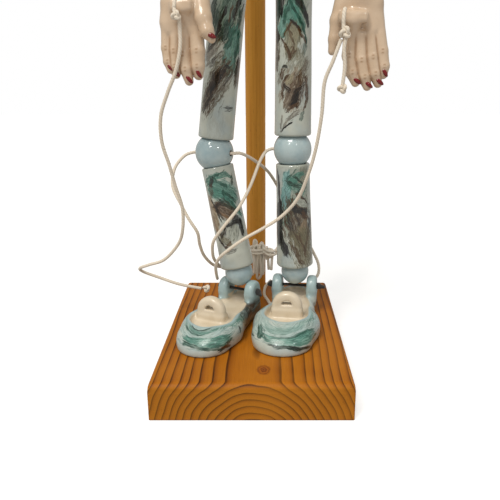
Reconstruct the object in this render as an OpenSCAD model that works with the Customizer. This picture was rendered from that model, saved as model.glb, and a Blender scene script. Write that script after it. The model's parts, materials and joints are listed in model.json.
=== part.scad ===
// Ceramic marionette on a wooden display stand.
// Origin at the middle of the base's underside, +Z up. The puppet faces -Y, so its right side is at -X.

/* [Stand] */
// Width of the base board
base_w = 140; // [130:1:150]
// Depth of the base board
base_d = 200; // [190:1:210]
// Thickness of the base board
base_h = 27; // [24:1:30]
// Radius of the post
post_r = 9; // [8:0.5:10]
// Height of the post's top
post_top = 455; // [445:1:462]
// Distance of the post's axis behind the middle of the base
post_y = 80; // [78:1:84]

/* [Legs] */
// Radius of the hip and knee beads
knee_r = 15.6; // [15:0.1:15.8]
// Radius of the ankle beads
ankle_r = 11.8; // [11.4:0.1:12]
// Turn of the right foot towards the right
right_yaw = 25; // [20:1:28]
// Turn of the left foot towards the right
left_yaw = 9; // [4:1:12]

/* [Arms and head] */
// Radius of the shoulder beads
shoulder_r = 11; // [10:0.1:11.2]
// Radius of the elbow beads
elbow_r = 10; // [9.5:0.1:10.2]
// Radius of the wrist beads
wrist_r = 8; // [7.5:0.1:8.2]
// Radius of the neck bead
neck_r = 12; // [11:0.1:12.2]
// Height of the head above its neck seat
head_h = 76; // [72:1:78]

/* [Cords] */
// Diameter of the control and stringing cords
cord_d = 2.4; // [2:0.1:2.6]

/* [Hidden] */
$fn = 48;
HULL_FN = 32;
CORD_SIDES = 8;
GAP = 0.05;
SIDES = ["right", "left"];

// A seat plane lies this share of its bead's radius from the centre; the hole in it is this share wide
SEAT = 0.73;
SEAT_HOLE = 0.72;
bead_hole = 3.8;

base_top = base_h;
torso_x = 8;

// Joint centres, right side then left side
hip = [[-15, 24, 321], [31, 26, 321]];
knee = [[-32.5, 22, 167.5], [31.5, 26, 169.5]];
ankle = [[-13.6, 16.5, 66.2], [34.8, 26, 64.4]];
shoulder = [[torso_x - 50, 4, 466], [torso_x + 50, 4, 466]];
elbow = [[-46, 2, 380], [64, 2, 380]];
wrist = [[-46, -24, 297], [73, -24, 297]];
neck = [torso_x, 0, 496];
yaw = [right_yaw, left_yaw];

// Tube radii at the top and the bottom, right side then left side
thigh_r = [[14, 14.3], [14.2, 14.9]];
shin_r = [[13, 14.2], [14.1, 15.6]];
upper_arm_r = [10.5, 10];
forearm_r = [10, 8.6];

// Ankle: the cross cord is the hinge, under the bead, and runs through a lug on each side
hinge_z = 51;
lug_x = [12.5, 15];
lug_t = 9;
lug_r = 9;
sole_gap = 0.3;
black_r = 1.2;
knot_r = 2.2;
tail = 3.2;
ankle_seat = 0.5;

// Stand: the post's foot in the base, its screw, and the peg that carries the torso
post_foot = 10;
screw_r = 2;
screw_head_r = 4.5;
screw_head_h = 3;
peg_r = 4;
peg_z = 430;
peg_front = 16;

// Torso: chest, waist and the tilt of the shoulder seats
chest_z = 464;
waist = [torso_x, 16, 398];
seat_tilt = 15;

// Foot: middle and radius of the toe and heel, and the drilled instep tab, from the hinge
toe_y = [-64.5, -67];
toe_r = [21.5, 24];
heel_y = 3;
heel_r = 17;
rim_h = 18.5;
tab_x = [-5, 0];
tab_y = -42;
tab_r = 12;
tab_t = 7;
eye_r = 3.5;

base_color = "peru";
post_color = "darkgoldenrod";
glaze_color = "lightsteelblue";
bead_color = "lightblue";
clay_color = "antiquewhite";
cord_color = "linen";
black_color = "black";

// Routes of the control cords
right_hand_route = [
    [-48, -38, 264], [-48, -38, 246], [-52, -36, 230], [-59, -33, 215], [-65, -30, 199], [-66, -26, 181],
    [-62, -22, 163], [-59, -18, 147], [-55, -14, 129], [-56, -10, 111], [-61, -4, 97], [-74, 2, 82],
    [-88, 6, 76], [-97, 12, 71], [-96, 20, 65], [-84, 23, 59], [-66, 22, 53], [-47, 22, 49]
];
right_knee_outer_route = [
    [-49, 29.5, 167], [-58, 29, 164], [-66, 24, 154], [-67, 17, 140], [-60, 12, 126], [-54, 9, 115],
    [-47, 9, 103], [-46, 14, 91], [-43, 22, 78], [-35, 36, 65], [-20, 48, 60], [-4, 56, 58]
];
right_knee_inner_route = [
    [-16.5, 14.5, 167.5], [-10, 17, 167], [0, 28, 160], [11, 42, 149], [20, 50, 134], [33, 54, 110],
    [46, 52, 86], [53, 48, 73], [57, 45, 64], [57, 42, 56], [53, 40, 50]
];
left_knee_route = [
    [14, 28.8, 169.5], [9, 27, 167], [4, 20, 159], [-3, 10, 142], [-12, 3, 126], [-24, 0, 111],
    [-33, 2, 98], [-35, 10, 85], [-34, 22, 74], [-28, 38, 62], [-14, 48, 55], [-2, 54, 51]
];
left_hand_route = [
    [60, -40, 250], [55, -39, 236], [50, -36, 222], [49, -32, 200], [46, -26, 176], [41, -20, 155],
    [34, -13, 136], [22, -8, 121], [8, -6, 111], [-8, -7, 102], [-20, -6, 93], [-28, -2, 85], [-32, 5, 76],
    [-33, 15, 66], [-33, 25, 57]
];
left_tail_route = [[63, -41, 251], [62, -41, 244], [63, -40, 232], [62, -39, 220]];
base_route = [[14, 56, 44], [9, 50, 40], [8, 43, 35], [12, 36, 31], [13, 29, 29.4], [9, 22, 29.4]];

// Points on a ring round a cord's route
function ring_axis(route, i) =
    let (n = len(route) - 1, a = route[max(i - 1, 0)], b = route[min(i + 1, n)])
    (b - a) / norm(b - a);
function ring_side(axis) =
    let (s = cross(axis, abs(axis.z) < 0.9 ? [0, 0, 1] : [1, 0, 0]))
    s / norm(s);
function ring(route, i, side) =
    let (axis = ring_axis(route, i), v = cross(axis, side))
    [for (k = [0 : CORD_SIDES - 1])
        route[i] + cord_d / 2 * (cos(360 * k / CORD_SIDES) * side + sin(360 * k / CORD_SIDES) * v)];

// Each ring's side vector is the last one turned as little as it can be, so that the tube never twists
function carried_side(route, i) =
    i == 0 ? ring_side(ring_axis(route, 0)) :
    let (axis = ring_axis(route, i), old = carried_side(route, i - 1), flat = old - (old * axis) * axis)
    flat / norm(flat);

module cord(route) {
    n = len(route);
    s = CORD_SIDES;
    points = [for (i = [0 : n - 1]) each ring(route, i, carried_side(route, i))];
    walls = [for (i = [0 : n - 2], k = [0 : s - 1]) let (j = (k + 1) % s)
        each [[i * s + k, i * s + j, (i + 1) * s + k], [i * s + j, (i + 1) * s + j, (i + 1) * s + k]]];
    start_cap = [for (k = [1 : s - 2]) [0, k + 1, k]];
    end_cap = [for (k = [1 : s - 2]) [(n - 1) * s, (n - 1) * s + k, (n - 1) * s + k + 1]];
    color(cord_color) polyhedron(points, concat(walls, start_cap, end_cap));
}

// Children stand at a with +Z towards b
module along(a, b) {
    d = b - a;
    translate(a) rotate([0, acos(d.z / norm(d)), atan2(d.y, d.x)]) children();
}

// Hollow tube that seats on a bead at each end
module limb(top, bottom, top_bead, bottom_bead, radii, top_seat = SEAT, bottom_seat = SEAT) {
    start = bottom_bead * bottom_seat;
    length = norm(top - bottom) - start - top_bead * top_seat;
    bore_top = top_bead * sqrt(1 - top_seat * top_seat) + 0.4;
    bore_bottom = bottom_bead * sqrt(1 - bottom_seat * bottom_seat) + 0.4;
    color(glaze_color) along(bottom, top) translate([0, 0, start]) difference() {
        cylinder(r1 = radii[1], r2 = radii[0], h = length);
        translate([0, 0, -1]) cylinder(r = bore_bottom, h = length / 2 + 1);
        translate([0, 0, length / 2 - 1]) cylinder(r = bore_top, h = length / 2 + 2);
    }
}

// Bead turned round its stringing hole, which points along the given direction
module bead(centre, r, direction) {
    color(bead_color) along(centre, centre + direction) rotate([0, 0, 45]) rotate_extrude() difference() {
        circle(r);
        translate([-r - 1, -r - 1]) square([r + 1 + bead_hole, 2 * r + 2]);
    }
}
function unit(v) = v / norm(v);

// Stringing cord from inside the upper bead to inside the lower one
module string(top, bottom, top_gap, bottom_gap) {
    d = (bottom - top) / norm(bottom - top);
    color(cord_color) along(top + d * top_gap, bottom - d * bottom_gap)
        cylinder(d = cord_d, h = norm(bottom - top) - top_gap - bottom_gap);
}

module knot(centre, r) {
    color(cord_color) translate(centre) sphere(r);
}

module base_block() {
    edge = 3;
    color(base_color) difference() {
        translate([0, base_d / 2, 0]) rotate([90, 0, 0]) linear_extrude(base_d) union() {
            translate([-base_w / 2 + edge, 0]) square([base_w - 2 * edge, base_h]);
            translate([-base_w / 2, 0]) square([base_w, base_h - edge]);
            for (x = [-1, 1]) translate([x * (base_w / 2 - edge), base_h - edge]) circle(edge);
        }
        translate([0, post_y, post_foot]) cylinder(r = post_r + GAP, h = base_h);
        translate([0, post_y, -1]) cylinder(r = screw_r + GAP, h = base_h);
        translate([0, post_y, -1]) cylinder(r = screw_head_r + GAP, h = 1 + screw_head_h + GAP);
    }
}

module post() {
    color(post_color) difference() {
        union() {
            translate([0, post_y, post_foot]) cylinder(r = post_r, h = post_top - post_foot - 3);
            translate([0, post_y, post_top - 3]) cylinder(r1 = post_r, r2 = post_r - 3, h = 3);
        }
        translate([0, post_y, post_foot - 1]) cylinder(r = screw_r + GAP, h = 22);
        translate([0, post_y + post_r + 1, peg_z]) rotate([90, 0, 0])
            cylinder(r = peg_r + GAP, h = 2 * post_r + 2);
    }
}

module post_screw() {
    color("silver") translate([0, post_y, 0.2]) {
        cylinder(r = screw_head_r, h = screw_head_h - 0.2);
        cylinder(r = screw_r, h = 28);
    }
}

module support_peg() {
    color(post_color) translate([0, post_y + post_r, peg_z]) rotate([90, 0, 0])
        cylinder(r = peg_r, h = post_y + post_r - peg_front - GAP);
}

// One body piece, narrow at the waist, with seats for the neck, shoulder and hip beads
module torso() {
    hip_plane = hip[0].z + knee_r * SEAT;
    color(glaze_color) difference() {
        union() {
            hull() {
                translate([torso_x, 8, chest_z - 24]) scale([1.15, 0.72, 1]) sphere(32, $fn = HULL_FN);
                translate([torso_x, 4, chest_z]) scale([1.3, 0.6, 0.75]) sphere(30, $fn = HULL_FN);
                translate(waist) scale([1, 0.72, 0.3]) sphere(27, $fn = HULL_FN);
            }
            hull() {
                translate(waist) scale([1, 0.72, 0.3]) sphere(27, $fn = HULL_FN);
                for (h = hip) translate([h.x, h.y, hip_plane]) cylinder(r = 17, h = 20, $fn = HULL_FN);
            }
            translate([neck.x, neck.y, neck.z - neck_r * SEAT - 24]) cylinder(r1 = 15, r2 = 12, h = 24);
            for (s = shoulder) along(s, s - side_of(s) * [cos(seat_tilt), 0, 0] + [0, 0, sin(seat_tilt)])
                translate([0, 0, shoulder_r * SEAT]) cylinder(r1 = 9, r2 = 13, h = 18);
        }
        for (h = hip) translate([h.x, h.y, hip_plane - 1]) cylinder(r = knee_r * SEAT_HOLE, h = 7);
        translate([neck.x, neck.y, neck.z - neck_r * SEAT - 6]) cylinder(r = neck_r * SEAT_HOLE, h = 7);
        for (s = shoulder) along(s, s - side_of(s) * [cos(seat_tilt), 0, 0] + [0, 0, sin(seat_tilt)])
            cylinder(r = shoulder_r * SEAT_HOLE, h = shoulder_r * SEAT + 5);
        translate([0, 60, peg_z]) rotate([90, 0, 0]) cylinder(r = peg_r + GAP, h = 60 - peg_front);
    }
}
function side_of(p) = p.x < torso_x ? -1 : 1;

module neck_bead() {
    bead(neck, neck_r, [0, 0, 1]);
}

// Skull, jaw, hair and neck
module head() {
    foot = neck.z + neck_r * SEAT;
    color(clay_color) difference() {
        union() {
            hull() {
                translate([neck.x, -4, foot + head_h * 0.63]) scale([0.86, 1.08, 0.95])
                    sphere(head_h * 0.38, $fn = HULL_FN);
                translate([neck.x, -14, foot + head_h * 0.27]) scale([0.9, 0.85, 1])
                    sphere(head_h * 0.21, $fn = HULL_FN);
            }
            translate([neck.x, -32, foot + head_h * 0.46]) scale([0.6, 1, 1.3]) sphere(5, $fn = HULL_FN);
            for (x = [-1, 1]) translate([neck.x + x * head_h * 0.33, 0, foot + head_h * 0.5])
                scale([0.4, 0.8, 1.2]) sphere(7, $fn = HULL_FN);
            translate([neck.x, neck.y, foot]) cylinder(r = 12, h = head_h * 0.4);
        }
        translate([neck.x, neck.y, foot - 1]) cylinder(r = neck_r * SEAT_HOLE, h = 7);
    }
}

module shoulder_bead(i) {
    bead(shoulder[i], shoulder_r, shoulder[i] - elbow[i]);
}
module upper_arm(i) {
    limb(shoulder[i], elbow[i], shoulder_r, elbow_r, upper_arm_r);
}
module upper_arm_cord(i) {
    string(shoulder[i], elbow[i], shoulder_r + 1, 2);
}
module elbow_bead(i) {
    bead(elbow[i], elbow_r, unit(shoulder[i] - elbow[i]) + unit(elbow[i] - wrist[i]));
}
module forearm(i) {
    limb(elbow[i], wrist[i], elbow_r, wrist_r, forearm_r);
}
module forearm_cord(i) {
    string(elbow[i], wrist[i], elbow_r + 1, 2);
}
module wrist_bead(i) {
    bead(wrist[i], wrist_r, elbow[i] - wrist[i]);
}

// Hand hanging straight down with its back to the front: cuff, palm, four fingers, thumb and cross lug
module hand(i) {
    inner = i == 0 ? 1 : -1;
    seat = wrist_r * SEAT;
    tips = [[-12, -66], [-4, -74], [4, -76], [11, -72]];
    color(clay_color) translate(wrist[i]) scale([inner, 1, 1]) difference() {
        union() {
            hull() {
                translate([0, 0, -seat - 8]) cylinder(r = 11, h = 8, $fn = HULL_FN);
                translate([-8, -4, -40]) sphere(7, $fn = HULL_FN);
                translate([6, -4, -40]) sphere(8, $fn = HULL_FN);
            }
            for (k = [0 : 3]) hull() {
                translate([-9.6 + 6.4 * k, -5, -44]) sphere(4.4, $fn = HULL_FN / 2);
                translate([tips[k].x * 0.9, -8, tips[k].y]) sphere(3.4, $fn = HULL_FN / 2);
            }
            hull() {
                translate([9, -4, -22]) sphere(6, $fn = HULL_FN / 2);
                translate([19, -8, -46]) sphere(4, $fn = HULL_FN / 2);
            }
            translate([-10, -11, -24]) rotate([0, 90, 0]) cylinder(r = 3.5, h = 20);
        }
        translate([0, 0, -seat - 5]) cylinder(r = wrist_r * SEAT_HOLE, h = 6);
    }
}

module hip_bead(i) {
    bead(hip[i], knee_r, hip[i] - knee[i]);
}
module thigh(i) {
    limb(hip[i], knee[i], knee_r, knee_r, thigh_r[i]);
}
module thigh_cord(i) {
    string(hip[i], knee[i], knee_r + 1, 2);
}

// The knee bead is also drilled across, for the knee's control cord
module knee_bead(i) {
    difference() {
        bead(knee[i], knee_r, unit(hip[i] - knee[i]) + unit(knee[i] - ankle[i]));
        translate(knee[i]) rotate([0, 90, -yaw[i]])
            cylinder(r = cord_d / 2 + 0.4, h = 2 * knee_r + 2, center = true);
    }
}

module shin(i) {
    limb(knee[i], ankle[i], knee_r, ankle_r, shin_r[i], bottom_seat = ankle_seat);
}
module shin_cord(i) {
    string(knee[i], ankle[i], knee_r + 1, 2);
}
module ankle_bead(i) {
    bead(ankle[i], ankle_r, knee[i] - ankle[i]);
}

// Children stand in the foot's own frame: the hinge axis along X, the toe towards -Y, the sole at -hinge_h
hinge_h = hinge_z - base_top - sole_gap;
module foot_frame(i) {
    translate([ankle[i].x, ankle[i].y, hinge_z]) rotate([0, 0, -yaw[i]]) children();
}

// Foot and shoe in one piece, with two lugs and the instep tab
module foot(i) {
    color(glaze_color) foot_frame(i) difference() {
        union() {
            translate([0, 0, -hinge_h]) hull() {
                translate([0, heel_y, 0]) cylinder(r = heel_r, h = 13, $fn = HULL_FN);
                translate([0, heel_y, 0]) cylinder(r = heel_r - 4, h = rim_h, $fn = HULL_FN);
                translate([0, toe_y[i], 0]) cylinder(r = toe_r[i], h = 10, $fn = HULL_FN);
                translate([0, toe_y[i], 0]) cylinder(r = toe_r[i] - 8, h = rim_h, $fn = HULL_FN);
            }
            for (x = [-1, 1]) {
                translate([x * lug_x[i], 0, 0]) rotate([0, 90, 0]) rotate_extrude() union() {
                    translate([0, -lug_t / 2]) square([lug_r - lug_t / 2, lug_t]);
                    translate([lug_r - lug_t / 2, 0]) circle(lug_t / 2);
                }
                translate([x * lug_x[i] - lug_t / 2, -6, 10 - hinge_h]) cube([lug_t, 12, hinge_h - 10]);
            }
            translate([tab_x[i], tab_y, rim_h - hinge_h + 4]) rotate([90, 0, 0]) cylinder(r = tab_r, h = tab_t);
        }
        rotate([0, 90, 0]) cylinder(r = black_r + 0.3, h = 60, center = true);
        translate([tab_x[i], tab_y + 1, rim_h - hinge_h + 7]) rotate([90, 0, 0]) intersection() {
            cylinder(r = eye_r, h = tab_t + 2);
            translate([-eye_r, 0, -1]) cube([2 * eye_r, eye_r, tab_t + 4]);
        }
    }
}

// Black cross cord through both lugs, with a knot outside each
module ankle_cord(i) {
    reach = lug_x[i] + lug_t / 2 + 0.2;
    color(black_color) foot_frame(i) {
        rotate([0, 90, 0]) cylinder(r = black_r, h = 2 * (reach + tail), center = true);
        for (x = [-1, 1]) rotate([0, x * 90, 0]) translate([0, 0, reach]) {
            cylinder(r1 = black_r, r2 = knot_r, h = 1);
            translate([0, 0, 1]) cylinder(r = knot_r, h = 1.4);
        }
    }
}

module post_wrap() {
    color(cord_color) translate([0, post_y, 56]) rotate_extrude()
        translate([post_r + GAP, 0]) square([5, 14]);
}

// Hank: runs of cord folded to and fro, hanging in front of the post
module cord_hank() {
    color(cord_color) translate([7, 64, 0]) rotate([90, 0, 0]) linear_extrude(6) union() {
        translate([-9.5, 50]) square([19, 26]);
        translate([-4.5, 45]) square([9, 36]);
        for (x = [-4.5, 4.5], z = [50, 76]) translate([x, z]) circle(5);
    }
}

module right_hand_cord() { cord(right_hand_route); }
module right_knee_cord_outer() { cord(right_knee_outer_route); }
module right_knee_cord_inner() { cord(right_knee_inner_route); }
module left_knee_cord() { cord(left_knee_route); }
module left_hand_cord() { cord(left_hand_route); }
module left_hand_tail() { cord(left_tail_route); }
module base_cord() { cord(base_route); }
module right_hand_knot() { knot([-48, -41.5, 268.6], 3.2); }
module left_hand_knot() { knot([63, -41.5, 256.5], 4); }
module left_tail_knot() { knot(left_tail_route[3] - [0, 0, 3.6], 2.6); }
module right_foot_knot() { knot([-42.5, 22, 49], 3.2); }

base_block();
post();
post_screw();
support_peg();
torso();
neck_bead();
head();
for (i = [0, 1]) {
    shoulder_bead(i);
    upper_arm(i);
    upper_arm_cord(i);
    elbow_bead(i);
    forearm(i);
    forearm_cord(i);
    wrist_bead(i);
    hand(i);
    hip_bead(i);
    thigh(i);
    thigh_cord(i);
    knee_bead(i);
    shin(i);
    shin_cord(i);
    ankle_bead(i);
    foot(i);
    ankle_cord(i);
}
right_hand_knot();
left_hand_knot();
right_hand_cord();
right_foot_knot();
right_knee_cord_outer();
right_knee_cord_inner();
left_knee_cord();
left_hand_cord();
left_hand_tail();
left_tail_knot();
post_wrap();
cord_hank();
base_cord();
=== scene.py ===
import json
import math

import bpy
import numpy as np
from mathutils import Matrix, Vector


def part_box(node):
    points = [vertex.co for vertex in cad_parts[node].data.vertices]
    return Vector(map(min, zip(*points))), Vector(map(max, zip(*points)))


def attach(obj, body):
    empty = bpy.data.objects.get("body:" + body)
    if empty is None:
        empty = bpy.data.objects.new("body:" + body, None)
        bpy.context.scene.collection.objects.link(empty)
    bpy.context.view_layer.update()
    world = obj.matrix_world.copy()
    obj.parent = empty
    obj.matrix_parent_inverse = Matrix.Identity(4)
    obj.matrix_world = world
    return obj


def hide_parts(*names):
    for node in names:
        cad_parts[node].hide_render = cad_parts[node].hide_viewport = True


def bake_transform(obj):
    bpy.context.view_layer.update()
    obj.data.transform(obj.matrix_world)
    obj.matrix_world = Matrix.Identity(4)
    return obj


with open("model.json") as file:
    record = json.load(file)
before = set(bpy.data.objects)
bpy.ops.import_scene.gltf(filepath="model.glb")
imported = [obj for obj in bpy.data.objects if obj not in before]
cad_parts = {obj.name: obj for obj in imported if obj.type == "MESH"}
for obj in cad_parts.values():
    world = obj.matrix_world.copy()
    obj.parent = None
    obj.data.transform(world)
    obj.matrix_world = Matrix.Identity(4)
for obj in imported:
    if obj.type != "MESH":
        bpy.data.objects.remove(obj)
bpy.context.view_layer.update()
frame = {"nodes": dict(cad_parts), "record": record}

import openvdb
from mathutils import Vector

# Lengths are in millimetres and are turned into metres where a mesh is made.
MM = 0.001
SIDES = ["right", "left"]


# ---------------------------------------------------------------- frame
def corners(node):
    """The two corners of a CAD node's box, in millimetres."""
    low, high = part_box(node)
    return np.array(low) / MM, np.array(high) / MM


def centre(node):
    low, high = corners(node)
    return (low + high) / 2


def unit(v):
    v = np.asarray(v, float)
    return v / np.linalg.norm(v)


RECORD = frame["record"]
JOINTS = {joint["name"]: np.array(joint["pos_m"]) / MM for joint in RECORD["behaviour"]["joints"]}
BASE_HIGH = corners("base_block")[1]
POST_LOW, POST_HIGH = corners("post")
POST_AXIS = (POST_LOW + POST_HIGH) / 2
POST_R = (POST_HIGH[0] - POST_LOW[0]) / 2
TORSO_X = JOINTS["neck_turn"][0]
# How far each foot, and its knee's cross hole, is turned about Z.
YAW = {"right": math.radians(25), "left": math.radians(9)}
CORD_D = 2.7
# The strength of the surroundings as light, and of the key light.
AMBIENT = 0.45
KEY = 1.9


# ---------------------------------------------------------------- camera, floor and light
def add_camera():
    data = bpy.data.cameras.new("camera")
    data.lens, data.sensor_width = 39, 36
    data.shift_x, data.shift_y = -0.034, -0.036
    camera = bpy.data.objects.new("camera", data)
    camera.location = (0.0104, -0.4227, 0.2192)
    camera.rotation_euler = (math.radians(75), 0, 0)
    bpy.context.collection.objects.link(camera)
    bpy.context.scene.camera = camera


def add_light(name, kind, place, aim, power, **settings):
    data = bpy.data.lights.new(name, kind)
    data.energy = power
    for key, value in settings.items():
        setattr(data, key, value)
    light = bpy.data.objects.new(name, data)
    light.location = place
    light.rotation_euler = (Vector(aim) - Vector(place)).to_track_quat("-Z", "Y").to_euler()
    bpy.context.collection.objects.link(light)


def add_stage():
    """White surroundings, softer as light than as backdrop, with a key light from the upper left."""
    world = bpy.data.worlds.new("studio")
    world.use_nodes = True
    nodes = Nodes(world.node_tree)
    seen = nodes.add("ShaderNodeLightPath", {}).outputs["Is Camera Ray"]
    background = world.node_tree.nodes["Background"]
    feed(nodes, background, Color=nodes.mix(seen, (1, 0.97, 0.91, 1), (1, 1, 1, 1)),
         Strength=nodes.step(seen, 0, 1, AMBIENT, 1))
    scene = bpy.context.scene
    scene.world = world
    scene.view_settings.view_transform = "Standard"
    middle = (0, 0, 0.2)
    add_light("key", "SUN", (-0.35, -0.6, 1.4), middle, KEY, angle=math.radians(25), color=(1, 0.96, 0.89))
    add_light("lamp_left", "AREA", (-0.35, -0.75, 0.85), middle, 1.6, shape="SQUARE", size=0.09)
    add_light("lamp_right", "AREA", (0.4, -0.7, 0.75), middle, 0.9, shape="SQUARE", size=0.07)
    mesh = bpy.data.meshes.new("floor")
    reach = 4
    mesh.from_pydata([(-reach, -reach, 0), (reach, -reach, 0), (reach, reach, 0), (-reach, reach, 0)], [],
                     [(0, 1, 2, 3)])
    floor = bpy.data.objects.new("floor", mesh)
    bpy.context.collection.objects.link(floor)
    material, nodes, shader = new_material("pale_floor")
    seen = nodes.add("ShaderNodeLightPath", {}).outputs["Is Camera Ray"]
    feed(nodes, shader, Base_Color=(0.5, 0.5, 0.5, 1), Roughness=0.9, Emission_Color=(1, 1, 1, 1),
         Emission_Strength=nodes.times(seen, 0.62))
    mesh.materials.append(material)


# ---------------------------------------------------------------- node helpers
class Nodes:
    """A node tree with one short call for each kind of node that the materials use."""

    def __init__(self, tree):
        self.tree = tree

    def add(self, kind, inputs, **settings):
        node = self.tree.nodes.new(kind)
        for name, value in settings.items():
            setattr(node, name, value)
        for key, value in inputs.items():
            if isinstance(value, bpy.types.NodeSocket):
                self.tree.links.new(value, node.inputs[key])
            else:
                node.inputs[key].default_value = value
        return node

    def math(self, operation, a, b=0.0):
        return self.add("ShaderNodeMath", {0: a, 1: b}, operation=operation).outputs[0]

    def times(self, a, b):
        return self.math("MULTIPLY", a, b)

    def plus(self, a, b):
        return self.math("ADD", a, b)

    def vector(self, operation, a, b):
        return self.add("ShaderNodeVectorMath", {0: a, 1: b}, operation=operation).outputs[0]

    def dot(self, a, b):
        return self.add("ShaderNodeVectorMath", {0: a, 1: b}, operation="DOT_PRODUCT").outputs["Value"]

    def hypot(self, a, b):
        return self.math("SQRT", self.plus(self.times(a, a), self.times(b, b)))

    def split(self, vector):
        return self.add("ShaderNodeSeparateXYZ", {0: vector}).outputs

    def join(self, x, y, z):
        return self.add("ShaderNodeCombineXYZ", {0: x, 1: y, 2: z}).outputs[0]

    def noise(self, place, scale, detail=2.0, roughness=0.5):
        inputs = {"Vector": place, "Scale": scale, "Detail": detail, "Roughness": roughness}
        return self.add("ShaderNodeTexNoise", inputs).outputs[0]

    def step(self, value, low, high, start=0.0, end=1.0):
        inputs = {"Value": value, "From Min": low, "From Max": high, "To Min": start, "To Max": end}
        return self.add("ShaderNodeMapRange", inputs, interpolation_type="SMOOTHSTEP").outputs[0]

    def mix(self, share, a, b):
        return self.add("ShaderNodeMix", {0: share, 6: a, 7: b}, data_type="RGBA").outputs[2]

    def ramp(self, value, stops):
        node = self.add("ShaderNodeValToRGB", {0: value})
        band = node.color_ramp
        while len(band.elements) < len(stops):
            band.elements.new(1)
        for element, (position, colour) in zip(band.elements, stops):
            element.position = position
            element.color = colour
        return node.outputs[0]

    def rest_mm(self):
        """The point's place at rest, in millimetres: every mesh has its place in its own coordinates."""
        coordinates = self.add("ShaderNodeTexCoord", {}).outputs["Object"]
        return self.vector("MULTIPLY", coordinates, (1 / MM, 1 / MM, 1 / MM))

    def attribute(self, name, output="Fac"):
        return self.add("ShaderNodeAttribute", {}, attribute_name=name).outputs[output]

    def bump(self, height, depth, strength=1.0):
        inputs = {"Height": height, "Distance": depth * MM, "Strength": strength}
        return self.add("ShaderNodeBump", inputs).outputs[0]


def rgb(red, green, blue):
    """Display values from 0 to 255, as a linear colour."""
    linear = [((v / 255 + 0.055) / 1.055) ** 2.4 if v > 10 else v / 255 / 12.92 for v in (red, green, blue)]
    return (*linear, 1)


def new_material(name):
    material = bpy.data.materials.new(name)
    material.use_nodes = True
    nodes = Nodes(material.node_tree)
    shader = material.node_tree.nodes["Principled BSDF"]
    return material, nodes, shader


def feed(nodes, shader, **values):
    """Sets the shader's inputs. A name's underscores stand for spaces."""
    for name, value in values.items():
        socket = shader.inputs[name.replace("_", " ")]
        if isinstance(value, bpy.types.NodeSocket):
            nodes.tree.links.new(value, socket)
        else:
            socket.default_value = value


# ---------------------------------------------------------------- materials
PIGMENTS = {
    "teal": rgb(66, 122, 108),
    "pale_teal": rgb(120, 158, 148),
    "aqua": rgb(118, 162, 160),
    "sea": rgb(142, 172, 168),
    # A dark grey-blue used only as painted shade, on the inner side of the right shoe's heel.
    "painted_shade_slate": rgb(92, 102, 98),
    "deep_teal": rgb(22, 74, 60),
    "sage": rgb(108, 124, 108),
    "green": rgb(14, 46, 34),
    "black": rgb(16, 15, 13),
    "brown": rgb(78, 53, 28),
    "dark_brown": rgb(36, 23, 12),
    "rust": rgb(136, 104, 70),
    "tan": rgb(152, 132, 104),
    "olive": rgb(112, 106, 80),
    "beige": rgb(150, 142, 116),
    "blue": rgb(154, 174, 182),
    "white": rgb(164, 169, 158),
}
GROUND = rgb(184, 188, 178)
CLAY = rgb(206, 182, 156)
BEAD_BLUE = rgb(156, 178, 184)


def stroke_group():
    """One brush stroke: how much of it covers a place, in millimetres on the unrolled surface."""
    tree = bpy.data.node_groups.new("brush_stroke", "ShaderNodeTree")
    for name in ("Place", "Centre", "Along", "Across"):
        tree.interface.new_socket(name, in_out="INPUT", socket_type="NodeSocketVector")
    for name in ("Length", "Width", "Bend", "Fray", "Seed"):
        tree.interface.new_socket(name, in_out="INPUT", socket_type="NodeSocketFloat")
    for name in ("Cover", "Streak"):
        tree.interface.new_socket(name, in_out="OUTPUT", socket_type="NodeSocketFloat")
    nodes = Nodes(tree)
    given = tree.nodes.new("NodeGroupInput").outputs
    offset = nodes.vector("SUBTRACT", given["Place"], given["Centre"])
    along = nodes.dot(offset, given["Along"])
    share = nodes.math("DIVIDE", along, given["Length"])
    square = nodes.times(share, share)
    across = nodes.plus(nodes.dot(offset, given["Across"]), nodes.times(square, given["Bend"]))
    side = nodes.math("DIVIDE", across, given["Width"])
    reach = nodes.hypot(square, side)
    # Both noises share one place, because a shader holds only so many values at a time.
    place = nodes.join(nodes.times(along, 0.22), nodes.times(across, 1.15), given["Seed"])
    coarse = nodes.noise(place, 0.42, 2.0, 0.6)
    fine = nodes.noise(place, 1.0, 4.0, 0.72)
    streaks = nodes.math("SUBTRACT", nodes.plus(coarse, fine), 1.0)
    fray = nodes.times(streaks, nodes.times(given["Fray"], 2.6))
    inside = nodes.plus(nodes.math("SUBTRACT", 1.0, reach), fray)
    cover = nodes.times(nodes.step(inside, 0.0, 0.32), nodes.step(reach, 1.7, 1.15))
    thin = nodes.math("SUBTRACT", 1.0, nodes.times(given["Fray"], 0.6))
    cover = nodes.times(cover, nodes.step(fine, 0.34, 0.56, thin, 1.0))
    out = tree.nodes.new("NodeGroupOutput")
    tree.links.new(cover, out.inputs["Cover"])
    tree.links.new(nodes.step(fine, 0.38, 0.64), out.inputs["Streak"])
    return tree


STROKE = stroke_group()


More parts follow.
